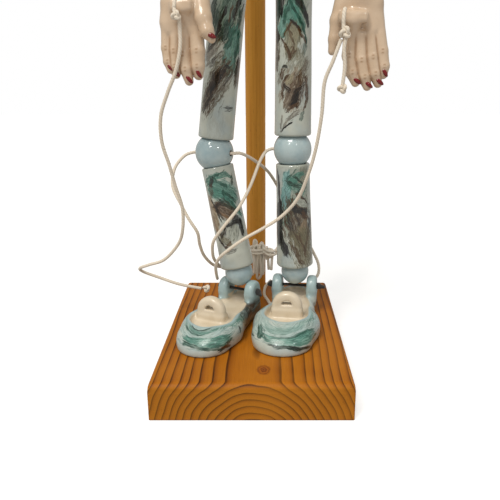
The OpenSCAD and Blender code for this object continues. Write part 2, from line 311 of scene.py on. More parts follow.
def brushed(nodes, ground, place, strokes, seed):
    """Lays the strokes over the ground colour, the first one lowest."""
    shifted = nodes.vector("ADD", place, (0, 0, seed * 9.0))
    inputs = {"Vector": shifted, "Scale": 0.13, "Detail": 4.0}
    wander = nodes.add("ShaderNodeTexNoise", inputs).outputs["Color"]
    wander = nodes.vector("MULTIPLY", nodes.vector("SUBTRACT", wander, (0.5, 0.5, 0.5)), (5, 5, 0))
    place = nodes.vector("ADD", place, wander)
    colour = ground
    for index, (x, y, turn, length, width, bend, fray, pigment, strength) in enumerate(strokes):
        cosine, sine = math.cos(math.radians(turn)), math.sin(math.radians(turn))
        inputs = {"Place": place, "Centre": (x, y, 0), "Along": (cosine, sine, 0),
                  "Across": (-sine, cosine, 0), "Length": length, "Width": width, "Bend": bend,
                  "Fray": fray, "Seed": seed * 10 + index * 2.3}
        group = nodes.add("ShaderNodeGroup", inputs, node_tree=STROKE)
        thick = tuple(0.45 * c for c in PIGMENTS[pigment][:3]) + (1,)
        thin = tuple(min(1.25 * c, 1) for c in PIGMENTS[pigment][:3]) + (1,)
        cover = nodes.times(group.outputs["Cover"], strength)
        colour = nodes.mix(cover, colour, nodes.mix(group.outputs["Streak"], thin, thick))
    return colour


def glaze_surface(nodes, shader, colour, seed, gloss=0.14, coat=0.5):
    """Glossy glaze: small pits and a slow swell, as thick glaze has."""
    place = nodes.rest_mm()
    swell = nodes.noise(nodes.vector("ADD", place, (seed * 31.0, 0, 0)), 0.12, 2.0)
    pits = nodes.step(nodes.noise(place, 1.6, 1.0), 0.68, 0.76, 0.0, -0.25)
    height = nodes.plus(swell, pits)
    feed(nodes, shader, Base_Color=colour, Roughness=gloss, Coat_Weight=coat, Coat_Roughness=0.06,
         Normal=nodes.bump(height, 0.35, 0.35))


def ground_colour(nodes, base, seed):
    """Pale ground with cloudy tints and a few specks."""
    place = nodes.vector("ADD", nodes.rest_mm(), (0, seed * 17.0, 0))
    cloud = nodes.noise(place, 0.05, 3.0)
    colour = nodes.mix(nodes.step(cloud, 0.42, 0.7, 0.0, 0.45), base, PIGMENTS["blue"])
    tint = nodes.step(nodes.noise(place, 0.16), 0.5, 0.75, 0.0, 0.35)
    colour = nodes.mix(tint, colour, PIGMENTS["white"])
    specks = nodes.step(nodes.noise(place, 1.1, 1.0), 0.73, 0.77, 0.0, 0.5)
    return nodes.mix(specks, colour, PIGMENTS["rust"])


def painted_glaze(name, strokes, seed):
    """Glaze on a limb: strokes on its unrolled surface, mirrored round its sides to the back."""
    material, nodes, shader = new_material(name)
    colour = ground_colour(nodes, GROUND, seed)
    place = nodes.attribute("glaze", "Vector")
    colour = brushed(nodes, colour, place, strokes, seed)
    colour = nodes.mix(nodes.times(nodes.attribute("rim"), 0.6), colour, PIGMENTS["white"])
    glaze_surface(nodes, shader, colour, seed)
    return material


def bead_glaze():
    material, nodes, shader = new_material("bead_glaze")
    place = nodes.rest_mm()
    cloud = nodes.noise(place, 0.09, 3.0)
    colour = nodes.mix(nodes.step(cloud, 0.35, 0.65), BEAD_BLUE, rgb(174, 191, 193))
    specks = nodes.step(nodes.noise(place, 1.3, 1.0), 0.72, 0.76, 0.0, 0.5)
    colour = nodes.mix(specks, colour, PIGMENTS["beige"])
    # Painted shade: a dark brown inside the drilled holes and in a ring round their mouths, where the holes
    # lie in shade.
    colour = nodes.mix(nodes.attribute("hole"), colour, rgb(70, 55, 42))
    glaze_surface(nodes, shader, colour, 3, 0.1)
    return material


def clay_colour(nodes, light=CLAY, deep=rgb(196, 170, 142)):
    place = nodes.rest_mm()
    warm = nodes.noise(place, 0.08, 3.0)
    colour = nodes.mix(nodes.step(warm, 0.35, 0.7), light, deep)
    specks = nodes.step(nodes.noise(place, 1.4, 1.0), 0.71, 0.76, 0.0, 0.6)
    return nodes.mix(specks, colour, rgb(170, 135, 100))


def clay_glaze():
    material, nodes, shader = new_material("clay_glaze")
    colour = clay_colour(nodes)
    # Painted shade in the grooves between the fingers and in the creases over their joints.
    hollow = nodes.attribute("hollow")
    colour = nodes.mix(nodes.times(hollow, 0.75), colour, rgb(150, 112, 78))
    glaze_surface(nodes, shader, colour, 5, 0.28)
    return material


def nail_polish():
    """A dark red polish with a slightly uneven coat."""
    material, nodes, shader = new_material("nail_polish")
    cloud = nodes.noise(nodes.rest_mm(), 0.6)
    red = rgb(124, 24, 26)
    dark = tuple(c * 0.6 for c in red[:3]) + (1,)
    feed(nodes, shader, Base_Color=nodes.mix(cloud, dark, red), Roughness=0.15)
    return material


def pine():
    """Varnished pine board: rings round a pith that runs along Y, just under the board."""
    material, nodes, shader = new_material("pine")
    place = nodes.rest_mm()
    x, y, z = nodes.split(place)
    slow = nodes.noise(nodes.vector("MULTIPLY", place, (0.016, 0.004, 0.016)), 1.0, 3.0)
    knot = nodes.hypot(nodes.plus(x, -8), nodes.times(nodes.plus(y, 80), 0.75))
    radius = nodes.plus(nodes.hypot(nodes.plus(x, -2), nodes.plus(z, 15)), nodes.times(slow, 11))
    ring = nodes.math("FRACT", nodes.math("DIVIDE", radius, 4.7))
    early = rgb(171, 104, 20)
    grain = nodes.ramp(ring, [(0.0, early), (0.5, rgb(164, 97, 17)), (0.78, rgb(132, 72, 10)),
                              (0.89, rgb(50, 22, 2)), (0.95, rgb(74, 36, 6)), (1.0, early)])
    fibre = nodes.noise(nodes.join(x, nodes.times(y, 0.03), z), 1.6, 3.0, 0.6)
    colour = nodes.mix(nodes.step(fibre, 0.35, 0.75, 0.0, 0.4), grain, rgb(134, 76, 12))
    patch = nodes.noise(place, 0.02, 2.0)
    colour = nodes.mix(nodes.step(patch, 0.4, 0.7, 0.0, 0.25), colour, rgb(192, 122, 34))
    around = nodes.plus(knot, nodes.times(nodes.noise(place, 0.3, 2.0), 3))
    knot_ring = nodes.ramp(nodes.math("DIVIDE", around, 10), [
        (0.1, rgb(92, 46, 14)), (0.25, rgb(140, 76, 22)), (0.34, rgb(104, 50, 10)), (0.44, rgb(158, 90, 24)),
        (0.56, rgb(120, 62, 12)), (0.75, early)])
    colour = nodes.mix(nodes.step(around, 8, 5), colour, knot_ring)
    end = nodes.step(nodes.math("ABSOLUTE", y), BASE_HIGH[1] - 1.6, BASE_HIGH[1] - 0.4)
    colour = nodes.mix(nodes.times(end, 0.16), colour, rgb(184, 128, 44))
    crack = nodes.noise(nodes.vector("MULTIPLY", place, (0.12, 0.5, 0.9)), 1.0, 3.0, 0.7)
    near_edge = nodes.step(nodes.math("ABSOLUTE", x), BASE_HIGH[0] - 26, BASE_HIGH[0] - 8)
    crack = nodes.times(nodes.step(crack, 0.66, 0.7), nodes.times(near_edge, 0.8))
    colour = nodes.mix(nodes.times(crack, nodes.step(y, -90, -96)), colour, rgb(48, 26, 10))
    height = nodes.plus(nodes.times(ring, -0.5), nodes.times(fibre, 0.6))
    feed(nodes, shader, Base_Color=colour, Roughness=0.5, Specular_IOR_Level=0.14,
         Normal=nodes.bump(height, 0.25, 0.5))
    return material


def dowel():
    """Varnished dowel: straight grain along Z with short darker flecks."""
    material, nodes, shader = new_material("dowel")
    x, y, z = nodes.split(nodes.rest_mm())
    grain = nodes.noise(nodes.join(x, y, nodes.times(z, 0.02)), 0.55, 3.0, 0.6)
    fleck = nodes.noise(nodes.join(x, y, nodes.times(z, 0.12)), 1.5, 1.0)
    colour = nodes.mix(nodes.step(grain, 0.3, 0.75), rgb(226, 160, 64), rgb(208, 138, 46))
    colour = nodes.mix(nodes.step(fleck, 0.66, 0.76, 0.0, 0.45), colour, rgb(160, 102, 32))
    feed(nodes, shader, Base_Color=colour, Roughness=0.45, Specular_IOR_Level=0.25,
         Normal=nodes.bump(grain, 0.2, 0.4))
    return material


def cord_material(name, colour, shade):
    """Cotton yarn: painted shade in the grooves between strands, with fine fibres."""
    material, nodes, shader = new_material(name)
    groove = nodes.attribute("groove")
    fibre = nodes.noise(nodes.rest_mm(), 5.0, 2.0)
    # Painted shade: darker the deeper a point lies in a groove between strands.
    colour = nodes.mix(nodes.times(groove, 0.55), colour, shade)
    colour = nodes.mix(nodes.step(fibre, 0.4, 0.8, 0.0, 0.3), colour, shade)
    feed(nodes, shader, Base_Color=colour, Roughness=0.85, Sheen_Weight=0.3,
         Normal=nodes.bump(fibre, 0.15, 0.6))
    return material


def steel():
    material, nodes, shader = new_material("screw_steel")
    marks = nodes.noise(nodes.vector("MULTIPLY", nodes.rest_mm(), (1, 1, 6)), 1.2)
    feed(nodes, shader, Base_Color=(0.6, 0.6, 0.58, 1), Metallic=1.0,
         Roughness=nodes.step(marks, 0.2, 0.8, 0.25, 0.5))
    return material


# ---------------------------------------------------------------- mesh helpers
def make_piece(name, points, faces, material, body=None, nodes=(), slot=None, attributes=None, smooth=True):
    """A mesh object from points in millimetres. It rides on its body and stands for the CAD nodes."""
    mesh = bpy.data.meshes.new(name)
    mesh.from_pydata((np.asarray(points, float) * MM).tolist(), [], [list(map(int, f)) for f in faces])
    mesh.validate()
    if smooth:
        mesh.shade_smooth()
    mesh.materials.append(material)
    for key, values in (attributes or {}).items():
        values = np.asarray(values, np.float32)
        kind = "FLOAT" if values.ndim == 1 else "FLOAT_VECTOR"
        data = mesh.attributes.new(key, kind, "POINT").data
        data.foreach_set("value" if values.ndim == 1 else "vector", values.ravel())
    piece = bpy.data.objects.new(name, mesh)
    bpy.context.collection.objects.link(piece)
    if body:
        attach(piece, body)
    if nodes:
        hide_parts(*nodes)
    return piece


def grid_faces(rows, columns, close_rows=False):
    """Quads over rows of points, closed round each row, and round the rows too where asked."""
    faces = []
    for i in range(rows if close_rows else rows - 1):
        a, b = i * columns, (i + 1) % rows * columns
        faces += [(a + j, a + (j + 1) % columns, b + (j + 1) % columns, b + j) for j in range(columns)]
    return faces


def arc(x, y, radius, start, end, count):
    """Points on an arc, from one angle to another, in degrees."""
    return [(x + radius * math.cos(a), y + radius * math.sin(a))
            for a in np.radians(np.linspace(start, end, count))]


def wobble(angle, height, seed):
    """Slow unevenness of a hand-built wall, from -1 to 1."""
    return (np.sin(2 * angle + seed) * np.sin(height * 0.045 + seed * 1.7)
            + 0.5 * np.sin(3 * angle - seed * 2 + height * 0.03)
            + 0.4 * np.sin(height * 0.11 + seed)) / 1.9


def mirror_back(angle):
    """The angle at the front whose paint the back repeats."""
    return np.where(np.abs(angle) > np.pi / 2, np.sign(angle) * (np.pi - np.abs(angle)), angle)


def sculpt(name, low, high, cell, shape, material, place=None, **options):
    """Meshes where shape, a signed distance in millimetres, is zero. place moves it to the row frame."""
    axes = [np.arange(a, b + cell, cell) for a, b in zip(low, high)]
    points = np.stack(np.meshgrid(*axes, indexing="ij"), axis=-1)
    limit = 3 * cell
    distance = np.clip(shape(points), -limit, limit).astype(np.float32)
    grid = openvdb.FloatGrid(limit)
    grid.copyFromArray(distance)
    surface, triangles, quads = grid.convertToPolygons(0.0, 0.0)
    surface = surface * cell + np.array(low)
    faces = [tuple(f[::-1]) for f in quads] + [tuple(f[::-1]) for f in triangles]
    attributes = {key: mask(surface) for key, mask in options.pop("masks", {}).items()}
    if place is not None:
        surface = place(surface)
    return make_piece(name, surface, faces, material, attributes=attributes, **options)


# ---------------------------------------------------------------- signed distances
def ball(p, where, radius):
    return np.linalg.norm(p - np.array(where, float), axis=-1) - radius


def oval(p, where, radii):
    q = (p - np.array(where, float)) / np.array(radii, float)
    length = np.linalg.norm(q, axis=-1)
    slope = np.linalg.norm(q / np.array(radii, float), axis=-1)
    return length * (length - 1) / np.maximum(slope, 1e-6)


def taper(p, a, b, ra, rb):
    """A rounded cone from a to b."""
    a, b = np.array(a, float), np.array(b, float)
    axis = b - a
    share = np.clip((p - a) @ axis / (axis @ axis), 0, 1)
    nearest = a + share[..., None] * axis
    return np.linalg.norm(p - nearest, axis=-1) - (ra + (rb - ra) * share)


def blend_min(a, b, soft):
    """The union of two shapes, with a fillet of about soft."""
    share = np.clip(0.5 + 0.5 * (b - a) / soft, 0, 1)
    return b * (1 - share) + a * share - soft * share * (1 - share)


def cut(a, b, soft):
    """Shape a with shape b taken out."""
    return -blend_min(-a, b, soft)


def chain(p, points, radii, soft=1.5):
    """Rounded cones from point to point."""
    parts = [taper(p, points[i], points[i + 1], radii[i], radii[i + 1]) for i in range(len(points) - 1)]
    whole = parts[0]
    for part in parts[1:]:
        whole = blend_min(whole, part, soft)
    return whole


# ---------------------------------------------------------------- cords
def smooth_route(route, spacing=0.8):
    """A Catmull-Rom curve through the route's points, with even steps."""
    route = np.array(route, float)
    ends = np.vstack([2 * route[0] - route[1], route, 2 * route[-1] - route[-2]])
    fine = []
    for i in range(1, len(ends) - 2):
        p0, p1, p2, p3 = ends[i - 1:i + 3]
        t = np.linspace(0, 1, 24, endpoint=False)[:, None]
        fine.append(0.5 * (2 * p1 + (p2 - p0) * t + (2 * p0 - 5 * p1 + 4 * p2 - p3) * t ** 2
                           + (3 * p1 - p0 - 3 * p2 + p3) * t ** 3))
    fine = np.vstack(fine + [route[-1:]])
    run = np.concatenate([[0], np.cumsum(np.linalg.norm(np.diff(fine, axis=0), axis=1))])
    count = max(8, int(run[-1] / spacing))
    even = np.linspace(0, run[-1], count)
    return np.stack([np.interp(even, run, fine[:, k]) for k in range(3)], axis=1)


def cord_mesh(line, diameter, pitch=7.0):
    """A cord of three strands along a line: points, faces and how deep in a groove each point lies."""
    strands, sides = 3, 18
    tangents = np.gradient(line, axis=0)
    tangents /= np.linalg.norm(tangents, axis=1)[:, None]
    side = np.cross(tangents[0], (0, 0, 1) if abs(tangents[0][2]) < 0.9 else (1, 0, 0))
    run = np.concatenate([[0], np.cumsum(np.linalg.norm(np.diff(line, axis=0), axis=1))])
    rings, grooves = [], []
    angle = np.linspace(0, 2 * np.pi, sides, endpoint=False)
    for point, tangent, distance in zip(line, tangents, run):
        side = side - (side @ tangent) * tangent
        side /= np.linalg.norm(side)
        other = np.cross(tangent, side)
        phase = strands * (angle + 2 * np.pi * distance / pitch)
        lobe = np.abs(np.cos(phase / 2))
        radius = diameter / 2 * (0.86 + 0.14 * lobe)
        outward = np.cos(angle)[:, None] * side + np.sin(angle)[:, None] * other
        rings.append(point + radius[:, None] * outward)
        grooves.append(1 - lobe)
    points = np.vstack(rings + [line[:1], line[-1:]])
    depth = np.concatenate(grooves + [[0, 0]])
    faces = grid_faces(len(line), sides)
    first, last = len(points) - 2, len(points) - 1
    base = (len(line) - 1) * sides
    faces += [(first, (k + 1) % sides, k) for k in range(sides)]
    faces += [(last, base + k, base + (k + 1) % sides) for k in range(sides)]
    return points, faces, depth


def add_cord(name, line, material, declare=True, far_end="object", lay="hanging", with_pieces=(), **options):
    points, faces, depth = cord_mesh(line, CORD_D)
    piece = make_piece(name, points, faces, material, slot="white_cord", attributes={"groove": depth},
                       **options)
    return piece


def knot_line(where, radius, turn):
    """A trefoil, as an overhand knot drawn tight."""
    t = np.linspace(0, 2 * np.pi, 60)
    shape = np.stack([np.sin(t) + 2 * np.sin(2 * t), -np.sin(3 * t) * 1.4,
                      np.cos(t) - 2 * np.cos(2 * t)], axis=1)
    shape *= (radius - CORD_D * 0.42) / 3
    c, s = math.cos(turn), math.sin(turn)
    shape = shape @ np.array([[c, 0, s], [0, 1, 0], [-s, 0, c]])
    return np.array(where) + shape


def add_knot(name, where, radius, material, body, nodes=(), turn=0.4):
    points, faces, depth = cord_mesh(knot_line(where, radius, turn), CORD_D * 0.95, pitch=6)
    return make_piece(name, points, faces, material, body=body, nodes=nodes, slot="white_cord",
                      attributes={"groove": depth})


# ---------------------------------------------------------------- stroke lists
# Each stroke: across and up from the bottom rim, turn in degrees, half length, half width, bend,
# fray, pigment, strength.
STROKES = {
    "right_thigh": [
        (0, 94, 78, 26, 14, 0, 0.4, "sage", 0.85),
        (3, 96, 72, 16, 9, 0, 0.9, "deep_teal", 0.6),
        (-12, 97, 80, 11, 4, 0, 0.5, "green", 0.95),
        (-9, 87, 70, 11, 5, 0, 0.7, "green", 0.85),
        (9, 99, 72, 10, 2.6, 0, 0.6, "black", 0.95),
        (13, 92, 74, 12, 2.4, 0, 0.8, "green", 0.85),
        (1, 103, 66, 7, 2.4, 0, 0.9, "green", 0.8),
        (1, 82, 65, 10, 4.2, 0, 0.6, "green", 0.95),
        (8, 68, 80, 20, 7.5, 0, 0.5, "teal", 0.95),
        (5, 62, 100, 10, 4, 0, 0.4, "pale_teal", 0.6),
        (5, 76, 70, 9, 3.4, 0, 0.8, "deep_teal", 0.9),
        (13, 74, 84, 12, 1.6, 0, 0.7, "deep_teal", 0.85),
        (12, 60, 92, 10, 1.2, 0, 0.5, "deep_teal", 0.9),
        (-3, 88, 71, 14, 1.5, 0, 0.4, "black", 1.0),
        (-6, 78, 66, 9, 1.4, 0, 0.7, "black", 0.9),
        (4, 94, 80, 8, 0.9, 0, 0.6, "brown", 0.9),
        (-9, 67, 60, 13, 6, 0, 1.0, "brown", 0.75),
        (-10, 70, 56, 8, 2.4, 0, 1.0, "dark_brown", 0.8),
        (-5, 60, 40, 8, 2.4, 0, 1.0, "dark_brown", 0.7),
        (-3, 42, 68, 24, 10, 0, 1.0, "olive", 0.7),
        (-5, 41, 68, 23, 6, 2, 0.9, "brown", 0.9),
        (-8, 40, 70, 16, 1.8, 0, 0.8, "dark_brown", 0.8),
        (-3, 44, 67, 14, 2.8, 1, 0.7, "dark_brown", 1.0),
        (-4, 42, 67, 9, 1.3, 0, 0.6, "black", 0.9),
        (-10, 26, 64, 8, 2.0, 0, 0.8, "dark_brown", 0.95),
        (-4, 25, 58, 8, 2.6, 0, 1.1, "brown", 0.8),
        (5, 43, 60, 15, 4, 0, 1.1, "brown", 0.6),
        (7, 47, 56, 8, 1.4, 0, 0.9, "dark_brown", 0.7),
        (5, 56, -30, 3.4, 1.2, 0, 0.7, "black", 0.9),
        (17, 52, 84, 12, 5, 0, 0.6, "brown", 0.95),
        (15, 55, 78, 9, 2, 0, 0.6, "dark_brown", 0.95),
        (10, 25, 15, 5, 2, 0, 1.1, "black", 0.8),
        (0, 9, 90, 14, 9, 0, 0.2, "blue", 0.22),
    ],
    "left_thigh": [
        (0, 92, 80, 22, 13, 0, 0.4, "sage", 0.6),
        (-5, 90, 60, 17, 8, 0, 0.4, "teal", 0.9),
        (-12, 82, 52, 9, 4.4, 0, 0.3, "pale_teal", 0.95),
        (-5, 96, 70, 14, 2, 0, 0.9, "deep_teal", 0.8),
        (3, 89, -60, 12, 4.4, 1, 0.4, "teal", 0.85),
        (-13, 102, 78, 13, 7, 0, 0.4, "black", 1.0),
        (-17, 92, 78, 13, 4, 0, 0.5, "green", 0.95),
        (6, 97, -54, 15, 3.4, 3, 0.3, "green", 1.0),
        (7, 97, -52, 9, 1.6, 2, 0.6, "black", 0.8),
        (11.5, 88, -72, 6.5, 2.4, 0.5, 0.3, "black", 1.0),
        (1, 92, -58, 14, 1.2, 0, 0.3, "deep_teal", 1.0),
        (8.5, 77, -72, 11, 1.3, 1, 0.4, "deep_teal", 0.95),
        (9, 68, 80, 8, 2.4, 0, 1.0, "deep_teal", 0.65),
        (-2, 72, 88, 15, 8, 0, 0.4, "olive", 0.8),
        (-1, 73, 80, 11, 5, 0, 0.9, "beige", 0.6),
        (1.5, 83, -48, 7, 1.5, 0, 0.4, "dark_brown", 1.0),
        (6, 76, -58, 8, 1.0, 0, 0.6, "brown", 0.9),
        (-6, 81, 50, 7, 1.2, 0, 0.5, "brown", 0.95),
        (-7, 67, -60, 10, 1.6, 0, 0.7, "brown", 0.95),
        (-3, 76, -65, 7, 1.2, 0, 0.9, "brown", 0.8),
        (-2, 63, 66, 7, 2.2, 0, 0.8, "brown", 0.9),
        (-18, 66, 88, 16, 5, 0, 0.8, "brown", 0.9),
        (-17, 77, -70, 6, 3.6, 0, 0.5, "dark_brown", 0.95),
        (0, 50, 60, 16, 9, 0, 1.1, "olive", 0.6),
        (0, 36, 74, 17, 10, 0, 1.0, "rust", 0.6),
        (8, 50, 60, 10, 4, 0, 1.1, "brown", 0.65),
        (-9.5, 39, 72, 10, 1.9, 3, 0.6, "brown", 0.95),
        (12.5, 34, 90, 15, 2, -5, 0.6, "brown", 1.0),
        (0, 34, 66, 14, 8, 0, 1.1, "brown", 0.85),
        (-3, 44, 60, 4.5, 2.4, 0, 0.4, "beige", 0.8),
        (-6, 37, -50, 5, 2, 0, 0.7, "dark_brown", 1.0),
        (2, 31, 62, 10, 3.2, 1, 0.7, "dark_brown", 1.0),
        (2, 30, 62, 6, 1.5, 0, 0.6, "black", 0.8),
        (6, 39, 40, 6, 1.2, 0, 0.8, "dark_brown", 0.8),
        (0, 23, 30, 7, 2, 0, 0.9, "brown", 0.9),
        (-8, 53.5, -8, 3, 1.4, 1, 0.4, "black", 0.95),
        (-11, 48.5, 76, 5, 2.2, 1, 0.7, "brown", 0.95),
        (-14, 45, 80, 6, 2, 0, 1.0, "brown", 0.6),
        (7, 17, 70, 4, 1.4, 0, 1.0, "deep_teal", 0.7),
        (-4, 14, 42, 11, 1.9, 2, 1.0, "brown", 0.7),
        (-11, 11, 75, 7, 1.0, 1, 0.7, "brown", 0.6),
        (-6.5, 8, 37, 7, 0.8, 0, 0.3, "black", 1.0),
    ],
    "right_shin": [
        (2, 66, -32, 18, 12, 0, 0.4, "pale_teal", 0.85),
        (-1, 79, 3, 16, 3.4, 5, 0.7, "teal", 0.9),
        (2, 66, -36, 16, 6.5, 0, 0.7, "teal", 0.85),
        (-6, 66, -25, 9, 4.2, 0, 0.5, "teal", 0.8),
        (-7, 75, 70, 5, 3.2, 0, 1.1, "black", 0.9),
        (-9, 68, 80, 6, 2.4, 0, 0.9, "brown", 0.6),
        (2, 81, 20, 6, 1.1, 0, 0.8, "deep_teal", 0.9),
        (1, 73, -50, 9, 1.6, 0, 0.9, "deep_teal", 0.85),
        (3, 62, -70, 7, 1.7, 0, 0.7, "deep_teal", 0.95),
        (8, 60, -50, 8, 1.6, 0, 0.7, "deep_teal", 0.9),
        (13, 74, 75, 5, 1.6, 0, 0.8, "green", 0.85),
        (9, 52, -52, 15, 3.4, 0, 0.7, "teal", 0.95),
        (11, 52, -54, 10, 1.2, 0, 0.8, "deep_teal", 0.9),
        (-13, 47, -84, 19, 6, 0, 0.4, "tan", 0.95),
        (-13, 40, -80, 8, 2, 0, 0.9, "rust", 0.7),
        (0, 51, -35, 12, 7.6, 1, 0.4, "brown", 0.97),
        (-5, 56, 42, 6, 2.2, 1, 0.5, "dark_brown", 0.95),
        (4, 54, -40, 10, 3, 0, 0.8, "green", 0.7),
        (-1, 46, -38, 6, 2.2, 0, 0.9, "rust", 0.6),
        (-6, 50, -62, 9, 1.4, 0, 0.6, "dark_brown", 0.9),
        (-8, 52, -72, 13, 0.9, 0, 0.3, "dark_brown", 0.95),
        (4, 31, 60, 8, 5.4, 0, 0.25, "white", 1.0),
        (4, 38.5, 8, 9, 2.8, 0, 0.5, "black", 1.0),
        (10, 41, -50, 5.5, 3, 0, 0.5, "black", 0.95),
        (12.5, 34, 88, 8, 2.5, 0, 0.4, "black", 1.0),
        (-5, 26, -40, 7, 4, 0, 0.6, "olive", 0.85),
        (-5.5, 32, 50, 6.5, 2.1, 0, 0.6, "dark_brown", 1.0),
        (-9, 24, -52, 7, 1.3, 0, 0.5, "dark_brown", 0.95),
        (-3, 22, 40, 5, 1, 0, 0.7, "brown", 0.9),
        (-2, 17, 10, 6, 2, 0, 1.1, "dark_brown", 0.75),
    ],
    "left_shin": [
        (2, 56, 84, 34, 15, 0, 0.3, "sage", 0.6),
        (-8, 67, 84, 19, 5.4, 0, 0.3, "aqua", 1.0),
        (9, 80, 70, 13, 6, 0, 0.9, "olive", 0.65),
        (0, 77, 40, 11, 4.4, 2, 0.6, "teal", 0.9),
        (2, 70, -30, 10, 6, 0, 0.8, "teal", 0.8),
        (-1, 72, -20, 8, 1.9, 0, 0.8, "green", 0.95),
        (4, 76, -42, 6, 1.3, 0, 0.7, "green", 0.9),
        (-3, 80, 44, 7, 1.1, 0, 0.8, "deep_teal", 0.9),
        (7, 68, 40, 7, 2, 0, 0.9, "green", 0.7),
        (-17, 70, -86, 16, 2.4, 0, 0.3, "black", 1.0),
        (-4, 50, 74, 14, 5, 0, 0.7, "teal", 0.9),
        (-2, 50, 68, 12, 1.6, 0, 0.8, "deep_teal", 0.9),
        (5, 37, -74, 26, 15, 0, 0.9, "brown", 0.95),
        (-2, 34, -68, 18, 2.4, 1, 0.8, "dark_brown", 0.85),
        (3, 42, -72, 16, 1.8, 1, 0.9, "dark_brown", 0.8),
        (8, 36, 72, 9, 3.4, 0, 0.7, "tan", 0.75),
        (6, 28, -50, 8, 1.8, 0, 0.8, "dark_brown", 0.9),
        (7, 57, -28, 8, 4, 0, 0.25, "white", 0.95),
        (7, 61, -35, 9, 1.0, 0, 0.6, "brown", 0.95),
        (11, 58, -45, 5, 0.8, 0, 0.5, "dark_brown", 0.9),
        (6, 50, -20, 8, 3.4, 0, 0.5, "black", 1.0),
        (11, 45, -40, 6, 2.4, 0, 0.8, "brown", 0.9),
        (14, 33, 66, 11, 2.6, 0, 0.4, "black", 1.0),
        (8, 18, -74, 20, 13, 0, 0.6, "olive", 0.95),
        (2, 13, -60, 10, 2.4, 0, 1.1, "brown", 0.85),
        (6, 22, -64, 13, 2, 0, 1.0, "brown", 0.8),
        (12, 24, 76, 11, 2, 0, 1.0, "brown", 0.7),
        (-16, 39, 89, 22, 5.6, 0, 0.3, "black", 1.0),
        (-11, 21, -65, 12, 4.4, 0, 0.3, "black", 1.0),
        (-6, 19, -66, 12, 1.0, 0, 0.25, "white", 1.0),
        (-8, 4, 90, 9, 8, 0, 0.2, "blue", 0.3),
    ],
    "right_shoe": [
        (8, 22, 3, 44, 14, 0, 0.9, "sea", 0.6),
        (4, 22, 2, 22, 4, 0, 1.1, "teal", 0.4),
        (9, 12, -8, 15, 4.4, 1, 0.5, "teal", 0.95),
        (2, 23, -4, 14, 2, 0, 0.9, "teal", 0.7),
        (7, 7.5, -8, 11, 1.6, 1, 0.9, "deep_teal", 0.9),
        (6, 26, 3, 11, 1.0, 0, 0.6, "green", 0.95),
        (0, 20, 2, 8, 0.9, 0, 0.8, "deep_teal", 0.85),
        (18, 6, 30, 4.5, 2.4, 0, 1.1, "green", 0.9),
        (19, 5, -30, 4, 1.6, 0, 1.1, "brown", 0.9),
        (36, 18, -10, 20, 4, 2, 1.0, "teal", 0.75),
        (28, 22, 14, 11, 2, 0, 1.0, "deep_teal", 0.6),
        (48, 17, 55, 6, 1.6, 2, 0.7, "green", 1.0),
        (32, 11, 80, 3, 0.9, 0, 0.8, "black", 0.9),
        (44, 12, -30, 12, 3, 0, 1.0, "teal", 0.7),
        (-24, 19, 8, 15, 3, 1, 1.0, "teal", 0.7),
        # Painted shade: dark grey-blue on the heel's inner side, where it lies in shade; the brown strokes
        # over it are painted.
        (68, 12, 20, 20, 14, 0, 0.4, "painted_shade_slate", 1.0),
        (64, 16, 60, 10, 2, 1, 0.8, "brown", 0.95),
        (70, 14, 50, 8, 1.4, -1, 0.8, "rust", 0.95),
        (59, 14, 75, 7, 1.4, -1, 0.7, "dark_brown", 0.95),
        (-62, 11, -8, 15, 7, 0, 0.7, "sea", 0.7),
    ],
    "left_shoe": [
        (4, 22, -2, 46, 14, 0, 0.9, "sea", 0.65),
        (8, 24, 3, 22, 4.4, 2, 1.1, "teal", 0.5),
        (6, 12, -8, 16, 5.2, 1, 0.5, "teal", 0.95),
        (8, 16, -6, 12, 1.4, 1, 1.0, "deep_teal", 0.75),
        (-11, 15, -60, 5, 2.4, 0, 0.7, "deep_teal", 0.95),
        (5, 6, -12, 11, 1.9, 1, 0.6, "green", 1.0),
        (9, 5.4, -10, 5, 0.9, 0, 0.6, "black", 0.7),
        (-22, 10, -4, 9, 0.8, 0, 0.5, "green", 0.9),
        (-30, 11, 50, 3.4, 1.4, 0, 0.7, "green", 0.9),
        (-40, 18, 40, 11, 3, 0, 1.0, "teal", 0.8),
        (30, 22, 18, 14, 3, 0, 1.0, "teal", 0.8),
        (40, 20, 50, 9, 2.4, 0, 0.9, "deep_teal", 0.85),
        (46, 24, 60, 6, 1.2, 0, 0.8, "green", 0.8),
        (60, 20, 20, 3.4, 1, 1, 0.5, "black", 0.9),
        (-60, 10, 8, 18, 7, 0, 0.7, "sea", 0.7),
        (68, 9, 0, 12, 4, 0, 0.8, "olive", 0.6),
    ],
    "arm": [
        (0, 56, 70, 18, 9, 0, 0.4, "sage", 0.8),
        (2, 56, 70, 14, 6, 0, 0.6, "teal", 0.9),
        (-3, 50, 62, 14, 2.4, 2, 0.6, "deep_teal", 0.95),
        (4, 42, 70, 10, 2.2, 0, 0.6, "green", 0.95),
        (-4, 60, 74, 8, 1.4, 0, 0.5, "black", 0.95),
        (0, 28, -68, 14, 5.4, 2, 0.9, "brown", 0.9),
        (-2, 24, -62, 10, 2, 1, 0.7, "dark_brown", 0.95),
        (5, 17, -50, 6, 2, 0, 0.9, "olive", 0.85),
    ],
    "torso": [
        (0, 62, 10, 60, 16, 0, 0.6, "pale_teal", 0.8),
        (-20, 66, 60, 22, 6, 3, 0.6, "teal", 0.9),
        (18, 60, -58, 24, 6, -3, 0.6, "teal", 0.9),
        (-6, 54, 74, 18, 4, 2, 0.6, "deep_teal", 0.9),
        (8, 68, 70, 12, 2.4, 2, 0.5, "green", 0.9),
        (-30, 50, 80, 14, 3, 0, 0.5, "green", 0.9),
        (30, 44, 74, 16, 4, 2, 0.6, "deep_teal", 0.85),
        (0, 22, -72, 22, 8, 3, 0.9, "brown", 0.85),
